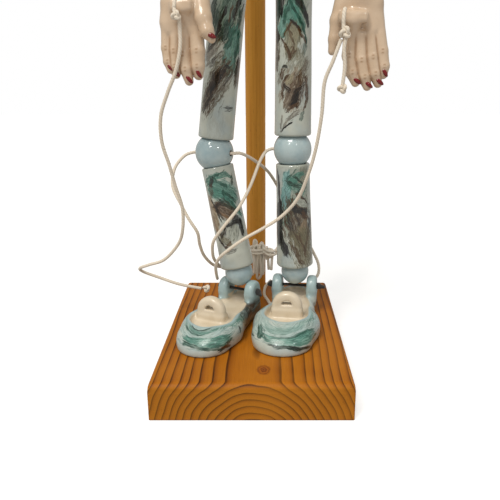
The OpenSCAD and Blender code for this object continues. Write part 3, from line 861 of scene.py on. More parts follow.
        (-18, 14, 66, 18, 6, 2, 0.9, "rust", 0.8),
        (20, 12, -66, 18, 5, -2, 0.9, "brown", 0.85),
        (4, 16, -64, 14, 2.4, 2, 0.7, "dark_brown", 0.9),
        (-24, 20, 62, 10, 2, 1, 0.7, "dark_brown", 0.9),
        (26, 24, -60, 9, 1.8, 1, 0.6, "black", 0.9),
        (-10, -12, 30, 16, 5, 2, 0.7, "teal", 0.8),
        (14, -14, -24, 14, 4, 2, 0.7, "deep_teal", 0.8),
    ],
}


# ---------------------------------------------------------------- limbs and beads
# Where a limb's rim sits on its bead, as a share of the bead's radius from its middle.
SEAT = 0.73
ANKLE_SEAT = 0.5


def limb_frame(top, bottom):
    axis = unit(top - bottom)
    front = unit(np.array([0, -1, 0]) - axis * -axis[1])
    return axis, front, np.cross(axis, front)


def add_limb(side, part, top_joint, bottom_joint, radii, strokes, seed, bottom_seat=SEAT):
    """A hollow ceramic tube with rounded rims between two beads. radii: its top's and its foot's."""
    node = f"{side}_{part}"
    top_bead, bottom_bead = f"{side}_{top_joint}_bead", f"{side}_{bottom_joint}_bead"
    top, bottom = centre(top_bead), centre(bottom_bead)
    top_r, bottom_r = bead_radius(top_bead), bead_radius(bottom_bead)
    axis, front, across = limb_frame(top, bottom)
    start = bottom_r * bottom_seat
    length = np.linalg.norm(top - bottom) - start - top_r * SEAT
    bores = (top_r * math.sqrt(1 - SEAT ** 2) + 0.4, bottom_r * math.sqrt(1 - bottom_seat ** 2) + 0.4)
    wall_top, wall_bottom = (radii[0] - bores[0]) / 2, (radii[1] - bores[1]) / 2
    round_top, round_bottom = min(wall_top, 1.9), min(wall_bottom, 1.9)
    profile = arc(bores[1] + round_bottom, round_bottom, round_bottom, 180, 270, 5)
    profile += arc(radii[1] - round_bottom, round_bottom, round_bottom, 270, 360, 6)
    for height in np.linspace(round_bottom, length - round_top, 40)[1:-1]:
        share = height / length
        profile.append((radii[1] + (radii[0] - radii[1]) * share - 0.35 * math.sin(math.pi * share), height))
    profile += arc(radii[0] - round_top, length - round_top, round_top, 0, 90, 6)
    profile += arc(bores[0] + round_top, length - round_top, round_top, 90, 180, 5)
    profile += [(bores[0], length - 12), (bores[1], 12)]
    profile = np.array(profile)
    sides = 72
    angle = np.linspace(-np.pi, np.pi, sides, endpoint=False)
    radius, height = profile[:, :1], profile[:, 1:]
    outside = radius > min(bores) + 1.2
    swell = np.where(outside, 0.3 * wobble(angle[None, :], height, seed), 0)
    ring = radius + swell
    points = (bottom + axis * start + height[..., None] * axis
              + (ring * np.cos(angle))[..., None] * front + (ring * np.sin(angle))[..., None] * across)
    u = np.broadcast_to(radii[1] * mirror_back(angle), points.shape[:2])
    v = np.broadcast_to(height, points.shape[:2])
    glaze = np.stack([u, v, 0 * v], axis=-1).reshape(-1, 3)
    edge = np.minimum(v, length - v)
    rim = np.clip(1 - edge / 4, 0, 1) + np.where(outside, 0, 1) * np.ones_like(v)
    faces = grid_faces(len(profile), sides, close_rows=True)
    make_piece(f"{node}_glazed", points.reshape(-1, 3), faces, painted_glaze(f"{node}_paint", strokes, seed),
               body=node, nodes=[node], slot="painted_glaze",
               attributes={"glaze": glaze, "rim": np.clip(rim, 0, 1).ravel()})


def bead_radius(node):
    low, high = corners(node)
    return (high[0] - low[0]) / 2


def line_distance(p, axis):
    """Distance from a line through the origin."""
    return np.linalg.norm(np.cross(p, axis), axis=-1)


def add_bead(node, direction, body, material, cross_turn=None):
    """A glazed bead, drilled for its stringing cord and, at a knee, across for a control cord."""
    middle, radius = centre(node), bead_radius(node)
    axis, bore, cross_bore = unit(direction), 2.4, 1.9
    cross = None if cross_turn is None else np.array([math.cos(cross_turn), -math.sin(cross_turn), 0])

    def shape(p):
        bead = cut(ball(p, (0, 0, 0), radius), line_distance(p, axis) - bore, 1.2)
        return bead if cross is None else cut(bead, line_distance(p, cross) - cross_bore, 1.0)

    # The mask for the painted shade in and round the holes.
    def hole(points):
        mask = np.clip(1.6 - line_distance(points, axis) / bore, 0, 1)
        if cross is not None:
            away = line_distance(points, cross) / cross_bore
            mask = np.maximum(mask, np.clip((1.45 - away) * 3, 0, 1))
        return mask

    reach = radius + 1
    cell = 0.5 if radius > 9 else 0.4
    sculpt(f"{node}_glazed", (-reach,) * 3, (reach,) * 3, cell, shape, material, place=lambda s: s + middle,
           masks={"hole": hole}, body=body, nodes=[node], slot="bead_glaze")


def add_limbs_and_beads():
    glaze = bead_glaze()
    for number, side in enumerate(SIDES):
        points = {name: centre(f"{side}_{name}_bead") for name in
                  ("shoulder", "elbow", "wrist", "hip", "knee", "ankle")}
        up = {name: unit(points[a] - points[b]) for name, a, b in (
            ("upper_arm", "shoulder", "elbow"), ("forearm", "elbow", "wrist"),
            ("thigh", "hip", "knee"), ("shin", "knee", "ankle"))}
        add_bead(f"{side}_shoulder_bead", up["upper_arm"], "root", glaze)
        add_bead(f"{side}_elbow_bead", up["upper_arm"] + up["forearm"], f"{side}_upper_arm", glaze)
        add_bead(f"{side}_wrist_bead", up["forearm"], f"{side}_forearm", glaze)
        add_bead(f"{side}_hip_bead", up["thigh"], "root", glaze)
        add_bead(f"{side}_knee_bead", up["thigh"] + up["shin"], f"{side}_thigh", glaze, YAW[side])
        add_bead(f"{side}_ankle_bead", up["shin"], f"{side}_shin", glaze)
        thigh = [(14, 14.3), (14.2, 14.9)][number]
        shin = [(13, 14.2), (14.1, 15.6)][number]
        add_limb(side, "thigh", "hip", "knee", thigh, STROKES[f"{side}_thigh"], 1 + number)
        add_limb(side, "shin", "knee", "ankle", shin, STROKES[f"{side}_shin"], 3 + number, ANKLE_SEAT)
        add_limb(side, "upper_arm", "shoulder", "elbow", (10.5, 10), STROKES["arm"], 5 + number)
        add_limb(side, "forearm", "elbow", "wrist", (10, 8.6), STROKES["arm"], 7 + number)
    add_bead("neck_bead", (0, 0, 1), "neck", glaze)


# ---------------------------------------------------------------- shoes
# The toe's place and radius, how far out each lug is, and the tab's place and drop.
SHOE = {
    "right": {"toe_x": 3.6, "toe_y": -64.5, "toe_r": 21.5, "lug_x": 12.5, "tab_x": -0.5, "tab_drop": 2},
    "left": {"toe_x": -2, "toe_y": -67, "toe_r": 24, "lug_x": 15, "tab_x": -1.2, "tab_drop": 0},
}
# Heights over the sole, and the gap between the sole and the board.
HINGE_H = 23.7
RIM_H = 20.5
INSOLE_H = 13.5
SOLE_GAP = 0.3


def shoe_plan(p, side):
    """Distance to the shoe's outline, seen from above."""
    fit = SHOE[side]
    flat = p.copy()
    flat[..., 2] = 0
    toe = fit["toe_r"]
    line = [(0, 3, 0), (0, -26, 0), (0.5 * fit["toe_x"], -48, 0), (fit["toe_x"], fit["toe_y"], 0)]
    return chain(flat, line, [17, 18.5, toe + 1.5, toe], 6)


def shoe_pocket(p, side):
    """The opening: a rounded slot down to the insole."""
    flat = p.copy()
    flat[..., 2] = 0
    line = [(0, 2, 0), (0, -24, 0), (0.6 * SHOE[side]["toe_x"], -50, 0)]
    opening = chain(flat, line, [12, 14.5, 17.5], 6)
    lean = 0.25 * (p[..., 2] - RIM_H)
    return blend_max(opening - lean, INSOLE_H - p[..., 2], 2.5)


def blend_max(a, b, soft):
    return -blend_min(-a, -b, soft)


def rounded_box(p, middle, half, radius):
    q = np.abs(p - np.array(middle, float)) - (np.array(half, float) - radius)
    outside = np.linalg.norm(np.maximum(q, 0), axis=-1)
    return outside + np.minimum(q.max(axis=-1), 0) - radius


def rounded_disc(p, middle, axis, radius, half, edge):
    """A disc with rounded edges, its flat faces across the given axis."""
    q = p - np.array(middle, float)
    others = [k for k in range(3) if k != axis]
    away = np.hypot(q[..., others[0]], q[..., others[1]]) - (radius - edge)
    thick = np.abs(q[..., axis]) - (half - edge)
    outside = np.hypot(np.maximum(away, 0), np.maximum(thick, 0))
    return outside + np.minimum(np.maximum(away, thick), 0) - edge


def instep_tab(p, side):
    fit = SHOE[side]
    x, drop = fit["tab_x"], fit["tab_drop"]
    arch = rounded_disc(p, (x, -45.5, 22.5 - drop), 1, 12.2, 4.2, 3.4)
    foot = rounded_box(p, (x, -45, 15 - drop), (12.6, 5.4, 7), 3)
    arch = blend_min(arch, foot, 1.5)
    eye = rounded_disc(p, (x, -45.5, 23.8 - drop), 1, 4.4, 12, 0.2)
    eye = blend_max(eye, 24.4 - drop - p[..., 2], 0.4)
    return cut(arch, eye, 0.8)


def shoe_shape(p, side):
    fit = SHOE[side]
    y, z = p[..., 1], p[..., 2]
    lean = np.where(z > 8, 0.02 * (z - 8) ** 2, 0.018 * (8 - z) ** 2)
    wall = shoe_plan(p, side) + lean
    front = fit["toe_y"] - fit["toe_r"]
    vamp = np.clip((y - front) / 34, 0, 1)
    top = 9 + (RIM_H - 9) * np.sin(vamp * math.pi / 2)
    body = blend_max(wall, z - top, 12)
    body = blend_max(body, -z, 1.2)
    body = cut(body, shoe_pocket(p, side), 3.0)
    for sign in (-1, 1):
        where = sign * fit["lug_x"]
        lug = rounded_disc(p, (where, 0, HINGE_H), 0, 9.2, 4.3, 3.2)
        pillar = rounded_box(p, (where, 0, 15), (4.3, 8.6, 9), 3)
        body = blend_min(body, blend_min(lug, pillar, 2), 2.5)
    hinge = np.hypot(y, z - HINGE_H) - 1.6
    body = cut(body, hinge, 0.8)
    return blend_min(body, instep_tab(p, side), 2.2)


def shoe_material(name, strokes, seed):
    """Painted glaze outside, pale blue on the lugs and rim, cream clay glaze inside."""
    material, nodes, shader = new_material(name)
    colour = ground_colour(nodes, rgb(180, 188, 180), seed)
    colour = brushed(nodes, colour, nodes.attribute("glaze", "Vector"), strokes, seed)
    colour = nodes.mix(nodes.attribute("rim"), colour, rgb(158, 180, 182))
    insole = clay_colour(nodes, rgb(212, 199, 177), rgb(202, 187, 162))
    colour = nodes.mix(nodes.attribute("clay"), colour, insole)
    glaze_surface(nodes, shader, colour, seed, 0.3, 0.12)
    return material


def foot_place(side):
    """From the foot's own frame, with its sole at zero, to the row frame."""
    hinge = JOINTS[f"{side}_ankle"]
    turn = -YAW[side]
    c, s = math.cos(turn), math.sin(turn)
    turned = np.array([[c, s, 0], [-s, c, 0], [0, 0, 1]])
    return lambda q: q @ turned + np.array([hinge[0], hinge[1], BASE_HIGH[2] + SOLE_GAP])


def add_ankle_knot(side, sign, length, black):
    """The knotted end of the black ankle cord, a blunt cone against the outside of a lug."""
    start = np.array([sign * (SHOE[side]["lug_x"] + 4.4), 0, HINGE_H])
    end = start + np.array([sign * length, -2, -1.8 if side == "right" else 0])

    def shape(p):
        return blend_min(taper(p, start, end, 2.4, 1.5), ball(p, start + (sign * 1.2, 0, 0), 2.8), 1.2)

    low, high = np.minimum(start, end) - 4, np.maximum(start, end) + 4
    end_name = "inner" if (sign > 0) == (side == "right") else "outer"
    sculpt(f"{side}_ankle_knot_{end_name}", low, high, 0.5, shape, black, place=foot_place(side),
           body=f"{side}_foot", slot="black_cord")


def add_shoe(side, seed):
    fit = SHOE[side]

    def near_lugs(q, reach):
        return (np.abs(q[:, 1]) < 12) & (np.abs(np.abs(q[:, 0]) - fit["lug_x"]) < reach)

    def glaze(q):
        around = np.arctan2(q[:, 0], -(q[:, 1] + 42))
        inset = np.clip(-shoe_plan(q, side) - 4, 0, None)
        return np.stack([24 * around, q[:, 2] + inset, 0 * around], axis=1)

    def clay(q):
        inside = np.clip(1.1 - shoe_pocket(q, side) / 0.9, 0, 1)
        inside *= np.clip((RIM_H - 0.5 - q[:, 2]) / 1.2, 0, 1)
        tab = np.clip(1.6 - instep_tab(q, side) / 1.5, 0, 1)
        return np.where(near_lugs(q, 4.6) & (q[:, 2] > INSOLE_H + 2), 0, np.maximum(inside, tab))

    def rim(q):
        near = np.clip(1.6 - np.abs(shoe_pocket(q, side)) / 2.6, 0, 1) * (q[:, 2] > RIM_H - 4)
        return np.maximum(near, np.clip((q[:, 2] - 15) / 4, 0, 1) * near_lugs(q, 6))

    reach_x = fit["toe_r"] + 5
    low, high = (-reach_x, fit["toe_y"] - fit["toe_r"] - 3, -2), (reach_x, 24, 38)
    material = shoe_material(f"{side}_shoe_glaze", STROKES[f"{side}_shoe"], seed)
    sculpt(f"{side}_shoe", low, high, 0.8, lambda p: shoe_shape(p, side), material, place=foot_place(side),
           masks={"glaze": glaze, "clay": clay, "rim": rim}, body=f"{side}_foot", nodes=[f"{side}_foot"],
           slot="painted_glaze")


# ---------------------------------------------------------------- hands
# Across, forward and up from the wrist: knuckle, middle joint, last joint and tip of each finger,
# the little finger first.
FINGERS = {
    "right": [
        [(-12.4, -4, -38), (-13, -5.4, -52), (-12, -6.4, -61), (-10.4, -6.8, -66.5)],
        [(-6.6, -5, -40), (-7.4, -6.6, -54), (-7.2, -7.2, -64), (-6.6, -6.8, -69.5)],
        [(-0.6, -5, -41), (-1.2, -7, -56), (0.2, -7.6, -66), (2.2, -7.2, -74)],
        [(7.4, -4.6, -40), (8.4, -6.4, -54), (8.4, -6.8, -64), (8.8, -6.4, -70)],
    ],
    "left": [
        [(13.4, -4, -38), (16.4, -5.4, -54), (18, -6, -64), (18.2, -5.8, -69.5)],
        [(7.8, -5, -42), (9.8, -7, -58), (12, -7.6, -69), (14.6, -7.2, -75.5)],
        [(1.2, -5, -44), (2, -7.2, -60), (4.6, -7.8, -71), (7.2, -7.4, -77.5)],
        [(-5.6, -4.6, -42), (-6.4, -6.6, -57), (-4, -7.2, -68), (-1, -6.8, -75)],
    ],
}
FINGER_RADII = {
    "right": [(3.8, 3.5, 3.3, 2.6), (4.4, 4, 3.9, 3), (4.6, 4.4, 4.3, 3.1), (5.6, 5.4, 5, 3.4)],
    "left": [(4.8, 4.6, 4.4, 3.2), (4.6, 4.4, 4.3, 3.1), (4.6, 4.4, 4.3, 3.1), (4.8, 4.6, 4.3, 3)],
}
THUMB = {
    "right": [(11, -3, -20), (13.4, -9, -33), (16.2, -12, -42), (19.2, -12.6, -47)],
    "left": [(-10, -2, -20), (-14.6, -3, -34), (-16.4, -4, -46), (-17.6, -4.4, -54)],
}
THUMB_RADII = {"right": [6.6, 5.8, 4.6, 2.6], "left": [6.4, 4.8, 3.8, 2.8]}
# The cross bar's two ends and the foot of the web under it.
BAR = {
    "right": [(-8.5, -11.5, -25.6), (7, -11.5, -25.6), (1, -7, -36)],
    "left": [(-15, -12.6, -32.6), (5, -12.6, -32.6), (-4, -7, -44)],
}


def hand_shape(p, side):
    """A flat, mitten-like hand with grooves between the fingers and a cross bar for its cord."""
    inner = 1 if side == "right" else -1
    wrist = chain(p, [(0, 0, -8), (0, -1, -16)], [9.6, 9.4], 2)
    palm = blend_min(taper(p, (-4 * inner, -1, -22), (-9 * inner, -3.4, -40), 8.8, 6.4),
                     taper(p, (3 * inner, -1, -22), (6 * inner, -3.4, -40), 9, 6.8), 4)
    outer = np.array(FINGERS[side][0][0], float)
    edge = chain(p, [(-3 * inner, 0, -10), outer * (0.8, 0.6, 0.6), outer + (0, 0.5, 3)], [6.5, 5.4, 4.4], 3)
    hand = blend_min(blend_min(wrist, palm, 7), edge, 5)
    for points, radii in zip(FINGERS[side], FINGER_RADII[side]):
        hand = blend_min(hand, chain(p, points, radii, 1), 0.9)
    hand = blend_min(hand, chain(p, THUMB[side], THUMB_RADII[side], 2), 1.6)
    start, end, foot = (np.array(point, float) for point in BAR[side])
    bar = rounded_box(p, (start + end) / 2, ((end - start)[0] / 2, 4.4, 4.2), 3)
    web = taper(p, (start + end) / 2 + (0, 2, -2), foot, 6.6, 3)
    hand = blend_min(hand, blend_min(bar, web, 2), 3)
    return cut(hand, ball(p, (0, 0, 0), 8.4), 1)


def nail_mesh(tip, joint, radius, width, length, facing):
    """A slightly domed plate on the front of a finger end, turned a little round it."""
    tip, joint, facing = (np.array(v, float) for v in (tip, joint, facing))
    along = unit(tip - joint)
    slant = math.radians(22)
    front = unit(facing - along * (along @ facing))
    across = np.cross(along, front)
    rows, sides = 6, 24
    share = np.linspace(1, 0.05, rows)[:, None]
    angle = np.linspace(0, 2 * np.pi, sides, endpoint=False)[None, :]
    x, y = width * share * np.cos(angle), length * share * np.sin(angle)
    x, y = x * math.cos(slant) - y * math.sin(slant), x * math.sin(slant) + y * math.cos(slant)
    # The plate wraps round the finger end, a ball that narrows toward the tip.
    dome = np.sqrt(np.clip(1.35 * radius ** 2 - x ** 2 - 0.45 * y ** 2, 0.2, None))
    lift = dome - 0.3 + 0.7 * np.sqrt(np.clip(1 - share ** 2, 0, 1))
    points = tip + x[..., None] * across + y[..., None] * along + lift[..., None] * front
    faces = grid_faces(rows, sides) + [tuple((rows - 1) * sides + k for k in range(sides))]
    return points.reshape(-1, 3), faces


def add_hand(side, clay, polish):
    wrist = centre(f"{side}_wrist_bead")
    fingers = FINGERS[side]

    def hollow(q):
        """Painted shade: dark in the grooves between fingers and in the pairs of short creases over their
        joints.
        """
        depth = np.zeros(len(q))
        for a, b in zip(fingers[:-1], fingers[1:]):
            middle = [(np.array(a[k]) + np.array(b[k])) / 2 for k in range(4)]
            marks = [one + (two - one) * t for one, two in zip(middle[:-1], middle[1:])
                     for t in np.linspace(0, 1, 30)]
            away = np.min([np.linalg.norm(q[:, [0, 2]] - mark[[0, 2]], axis=1) for mark in marks], axis=0)
            groove = np.clip(1.3 - away / 0.9, 0, 1) * np.clip((-43 - q[:, 2]) / 3, 0, 1)
            depth = np.maximum(depth, groove)
        for points in fingers:
            for joint in (1, 2):
                for lift in (0, 2.2):
                    x, z = points[joint][0], points[joint][2] - lift + 1
                    mark = np.maximum(np.abs(q[:, 0] - x) / 0.8, np.abs(q[:, 2] - z) / 0.5)
                    depth = np.maximum(depth, 0.95 * np.clip(1.5 - mark, 0, 1) * (q[:, 1] < points[joint][1]))
        return depth

    def add_nail(name, points, radii, shift, width, length, facing):
        radius = (radii[2] + radii[3]) / 2
        plate, faces = nail_mesh(points[3] + np.array(shift), points[2], radius, width, length, facing)
        make_piece(f"{side}_{name}_nail", plate + wrist, faces, polish, body=f"{side}_hand",
                   slot="clay_glaze")

    sculpt(f"{side}_hand_clay", (-28, -22, -86), (28, 15, 2), 0.6, lambda p: hand_shape(p, side), clay,
           place=lambda s: s + wrist, masks={"hollow": hollow}, body=f"{side}_hand",
           nodes=[f"{side}_hand"], slot="clay_glaze")
    for name, points, radii in zip(("little", "ring", "middle", "index"), fingers, FINGER_RADII[side]):
        add_nail(name, points, radii, (0.6, 0, 1.2), 1.35, 3.3, (0, -1, 0))
    facing = (0.2, -1, 0) if side == "right" else (0.3, 1, 0)
    add_nail("thumb", THUMB[side], THUMB_RADII[side], (0, 0, 1.6), 1.7, 3.2, facing)


# ---------------------------------------------------------------- head
HEAD_FOOT = 504.8
EYES_X = [-10.2, 10.2]
EYE_H = 40


def head_place(points):
    """From the head's own frame, with the neck's foot at zero, to the row frame."""
    return points + np.array([TORSO_X, 0, HEAD_FOOT])


def face_shape(p):
    """A calm, even face: skull, jaw, cheeks, brow, nose, lips, chin, ears and neck."""
    skull = oval(p, (0, -3, 48), (24.4, 30.5, 26.5))
    jaw = oval(p, (0, -13, 25), (17.5, 18.5, 17))
    head = blend_min(skull, jaw, 12)
    for x in EYES_X:
        head = blend_min(head, oval(p, (x * 1.05, -23, 30), (7.5, 8, 7)), 5)
        head = cut(head, oval(p, (x, -35.5, 40.5), (6.2, 5.2, 4)), 4)
        upper = np.maximum(ball(p, (x, -27.4, EYE_H), 5.5), 41.2 - p[..., 2] + 0.02 * (p[..., 0] - x) ** 2)
        lower = np.maximum(ball(p, (x, -27.6, EYE_H), 5.2), p[..., 2] - 38.2 - 0.02 * (p[..., 0] - x) ** 2)
        head = blend_min(head, blend_min(upper, lower, 0.5), 1.2)
        ear = oval(p, (math.copysign(24.2, x), 0, 37), (2.6, 5, 8))
        ear = cut(ear, oval(p, (math.copysign(26.6, x), -1, 37.5), (1.8, 2.8, 5)), 1)
        head = blend_min(head, ear, 1.6)
        head = blend_min(head, chain(p, [(x * 0.55, -30.6, 47.2), (x, -31, 48.6), (x * 1.5, -27.6, 47)],
                                     [1.3, 1.5, 1.1], 1), 3)
    bridge = taper(p, (0, -31.2, 44), (0, -35.4, 33.5), 2.2, 3)
    wings = blend_min(ball(p, (-3.3, -33, 32.6), 2.3), ball(p, (3.3, -33, 32.6), 2.3), 1.5)
    head = blend_min(head, blend_min(bridge, wings, 2), 3)
    upper_lip = chain(p, [(-6.4, -30.2, 24.6), (-1.8, -32.6, 25.6), (0, -32.4, 25.2), (1.8, -32.6, 25.6),
                          (6.4, -30.2, 24.6)], [0.7, 1.6, 1.4, 1.6, 0.7], 0.6)
    lower_lip = chain(p, [(-5.6, -30, 23.6), (0, -32, 22.4), (5.6, -30, 23.6)], [0.7, 1.9, 0.7], 1)
    head = blend_min(head, upper_lip, 1.2)
    head = blend_min(head, lower_lip, 1.2)
    mouth = chain(p, [(-6.6, -31.4, 24.1), (0, -34.4, 24), (6.6, -31.4, 24.1)], [0.35, 0.45, 0.35])
    head = cut(head, mouth, 0.4)
    head = blend_min(head, ball(p, (0, -28.4, 12.6), 4.6), 5)
    neck = chain(p, [(0, 1, 4), (0, 0, 22)], [12, 11.4], 2)
    neck = np.maximum(neck, -p[..., 2])
    head = blend_min(head, neck, 5)
    seat = ball(p, (0, 0, -8.8), 12.6)
    return cut(head, seat, 0.8)


def hair_shape(p):
    """Hair combed back from the forehead into a low roll at the nape."""
    cap = oval(p, (0, 0, 49.5), (27, 31, 27.6))
    cap = cut(cap, oval(p, (0, -34, 33), (22.5, 26, 25.5)), 3)
    cap = cut(cap, np.maximum(-10 - p[..., 2], p[..., 2] - 30), 3)
    roll = chain(p, [(-15, 21, 26), (0, 26.5, 22), (15, 21, 26)], [6, 8, 6], 3)
    hair = blend_min(cap, roll, 4)
    angle = np.arctan2(p[..., 0], p[..., 2] - 30)
    comb = 0.45 * np.sin(angle * 34 + 0.12 * p[..., 1]) + 0.25 * np.sin(angle * 61 - 0.1 * p[..., 1])
    return hair + comb * 0.55


def painted_face():
    """Clay glaze with painted lips, brows and cheeks."""
    material, nodes, shader = new_material("painted_face")
    colour = clay_colour(nodes)
    colour = nodes.mix(nodes.times(nodes.attribute("cheek"), 0.35), colour, rgb(206, 140, 118))
    colour = nodes.mix(nodes.attribute("lips"), colour, rgb(158, 62, 58))
    streak = nodes.noise(nodes.vector("MULTIPLY", nodes.rest_mm(), (3, 1, 1)), 1.5, 2.0)
    brow = nodes.times(nodes.attribute("brow"), nodes.step(streak, 0.2, 0.5, 0.6, 1.0))
    colour = nodes.mix(brow, colour, rgb(70, 48, 36))
    colour = nodes.mix(nodes.attribute("lash"), colour, rgb(58, 40, 34))
    glaze_surface(nodes, shader, colour, 6, 0.25)
    return material


def line_mask(q, points, width):
    """1 near a line of points, 0 away from it."""
    distance = chain(q, points, [width] * len(points), 0.3)
    return np.clip(0.5 - distance / 0.5, 0, 1)


def both_sides(q, points, width):
    return np.maximum(*[line_mask(q, [(s * x, y, z) for x, y, z in points], width) for s in (-1, 1)])


def add_head():
    def lips(q):
        upper = [(-5.8, -31, 24.8), (-1.8, -34, 25.8), (0, -33.8, 25.3), (1.8, -34, 25.8), (5.8, -31, 24.8)]
        lower = [(-5.2, -31, 23.6), (0, -33.4, 22.6), (5.2, -31, 23.6)]
        return np.maximum(line_mask(q, upper, 1.5), line_mask(q, lower, 1.7))

    def brow(q):
        return both_sides(q, [(5, -32.5, 47.6), (10, -32.5, 49.6), (15.5, -28.5, 47.8)], 0.9)

    def lash(q):
        return both_sides(q, [(6, -31.8, 40.8), (10.2, -33.2, 41.8), (14.8, -30.8, 40.6)], 0.35)

    def cheek(q):
        return np.clip(1 - np.minimum(ball(q, (-13, -28, 29), 0), ball(q, (13, -28, 29), 0)) / 9, 0, 1)

    sculpt("face", (-30, -42, -3), (30, 34, 78), 0.8, face_shape, painted_face(), place=head_place,
           masks={"lips": lips, "brow": brow, "lash": lash, "cheek": cheek}, body="head", nodes=["head"],
           slot="clay_glaze")
    hair_material, nodes, shader = new_material("hair_glaze")
    strand = nodes.noise(nodes.vector("MULTIPLY", nodes.rest_mm(), (1, 0.2, 1)), 1.2, 3.0)
    feed(nodes, shader, Base_Color=nodes.mix(strand, rgb(60, 40, 30), rgb(104, 74, 54)), Roughness=0.22,
         Coat_Weight=0.4, Normal=nodes.bump(strand, 0.3, 0.4))
    sculpt("hair", (-30, -34, 8), (30, 38, 79), 0.8, hair_shape, hair_material, place=head_place, body="head",
           slot="painted_glaze")
    iris, nodes, shader = new_material("eye_paint")
    ring = nodes.attribute("ring")
    colour = nodes.ramp(ring, [(0.0, rgb(18, 16, 16)), (0.16, rgb(18, 16, 16)), (0.19, rgb(74, 104, 104)),
                               (0.36, rgb(52, 82, 86)), (0.4, rgb(228, 224, 214)), (1.0, rgb(222, 214, 202))])
    feed(nodes, shader, Base_Color=colour, Roughness=0.08, Coat_Weight=1.0)
    for name, x in zip(("right_eye", "left_eye"), EYES_X):
        rows, sides = 24, 32
        polar = np.linspace(0.02, np.pi - 0.02, rows)[:, None]
        turn = np.linspace(0, 2 * np.pi, sides, endpoint=False)[None, :]
        points = np.stack([np.sin(polar) * np.cos(turn), -np.cos(polar) * np.ones_like(turn),
                           np.sin(polar) * np.sin(turn)], axis=-1) * 4.7
        points = points.reshape(-1, 3) + np.array([x, -27.7, EYE_H])
        share = np.repeat(polar / np.pi * 2, sides)
        make_piece(name, head_place(points), grid_faces(rows, sides), iris, body="head", slot="clay_glaze",
                   attributes={"ring": np.clip(share, 0, 1)})


# ---------------------------------------------------------------- torso
def torso_shape(p):
    """Chest, waist and pelvis in one hollow-cast piece, with seats for the neck, shoulders and hips."""
    hips = [centre(f"{side}_hip_bead") for side in SIDES]
    shoulders = [centre(f"{side}_shoulder_bead") for side in SIDES]
    neck = centre("neck_bead")
    chest = oval(p, (TORSO_X, 8, 440), (35, 22, 31))
    girdle = oval(p, (TORSO_X, 4, 464), (37.5, 17, 21))
    waist = oval(p, (TORSO_X, 16, 400), (26, 18.5, 20))
    body = blend_min(blend_min(chest, girdle, 10), waist, 16)
    for sign in (-1, 1):
        body = blend_min(body, oval(p, (TORSO_X + sign * 14, -8, 446), (11, 8.5, 11)), 7)
        blade = oval(p, (TORSO_X + sign * 15, 22, 452), (12, 6, 15))
        body = blend_min(body, blade, 8)
    spine = taper(p, (TORSO_X, 33, 395), (TORSO_X, 31, 462), 2, 2)
    body = cut(body, spine, 7)
    belly, seat = oval(p, (TORSO_X, 24, 372), (30, 20, 24)), oval(p, (TORSO_X, 25, 352), (36, 19, 17))
    body = blend_min(body, blend_min(belly, seat, 10), 16)
    for hip in hips:
        socket = chain(p, [(hip[0], hip[1], 352), (hip[0], hip[1], 343)], [17.5, 16.6], 3)
        body = blend_min(body, socket, 8)
    body = blend_max(body, (hips[0][2] + bead_radius("right_hip_bead") * SEAT) - p[..., 2], 2)
    collar = taper(p, (TORSO_X, 2, 474), (neck[0], neck[1], neck[2] - 9), 15, 11.6)
    body = blend_min(body, collar, 6)
    for shoulder in shoulders:
        side = 1 if shoulder[0] > TORSO_X else -1
        tilt = math.radians(15)
        inward = np.array([-side * math.cos(tilt), 0, math.sin(tilt)])
        radius = bead_radius("right_shoulder_bead")
        stub = taper(p, shoulder + inward * 13, shoulder + inward * 24, 10.2, 13)
        body = blend_min(body, stub, 6)
        beyond = (p - shoulder) @ inward - radius * SEAT
        body = cut(body, blend_max(ball(p, shoulder, 17), beyond, 0.5), 1)
        body = cut(body, ball(p, shoulder, radius + 0.5), 1)
    for hip in hips:
        body = cut(body, ball(p, hip, bead_radius("right_hip_bead") + 0.4), 1)
    body = blend_max(body, p[..., 2] - (neck[2] - bead_radius("neck_bead") * SEAT), 1.2)
    body = cut(body, ball(p, neck, bead_radius("neck_bead") + 0.4), 0.8)
    peg_low, peg_high = corners("support_peg")
    peg = (peg_low + peg_high) / 2
    bore = np.hypot(p[..., 0] - peg[0], p[..., 2] - peg[2]) - 4.1
    bore = np.maximum(bore, peg_low[1] - p[..., 1])
    return cut(body, bore, 0.6)


def add_torso():
    low, high = corners("torso")

    def glaze(q):
        around = np.arctan2(q[:, 0] - TORSO_X, -(q[:, 1] - 14))
        return np.stack([32 * mirror_back(around), q[:, 2] - 390, 0 * around], axis=1)

    def rim(q):
        mask = np.zeros(len(q))
        beads = [f"{side}_{joint}_bead" for side in SIDES for joint in ("hip", "shoulder")]
        for node in beads + ["neck_bead"]:
            away = ball(q, centre(node), bead_radius(node))
            mask = np.maximum(mask, np.clip(1 - away / 4, 0, 1))
        return mask

    material = painted_glaze("torso_paint", STROKES["torso"], 11)
    sculpt("torso_glazed", low - 4, high + 4, 1.2, torso_shape, material,
           masks={"glaze": glaze, "rim": rim}, body="root", nodes=["torso"], slot="painted_glaze")


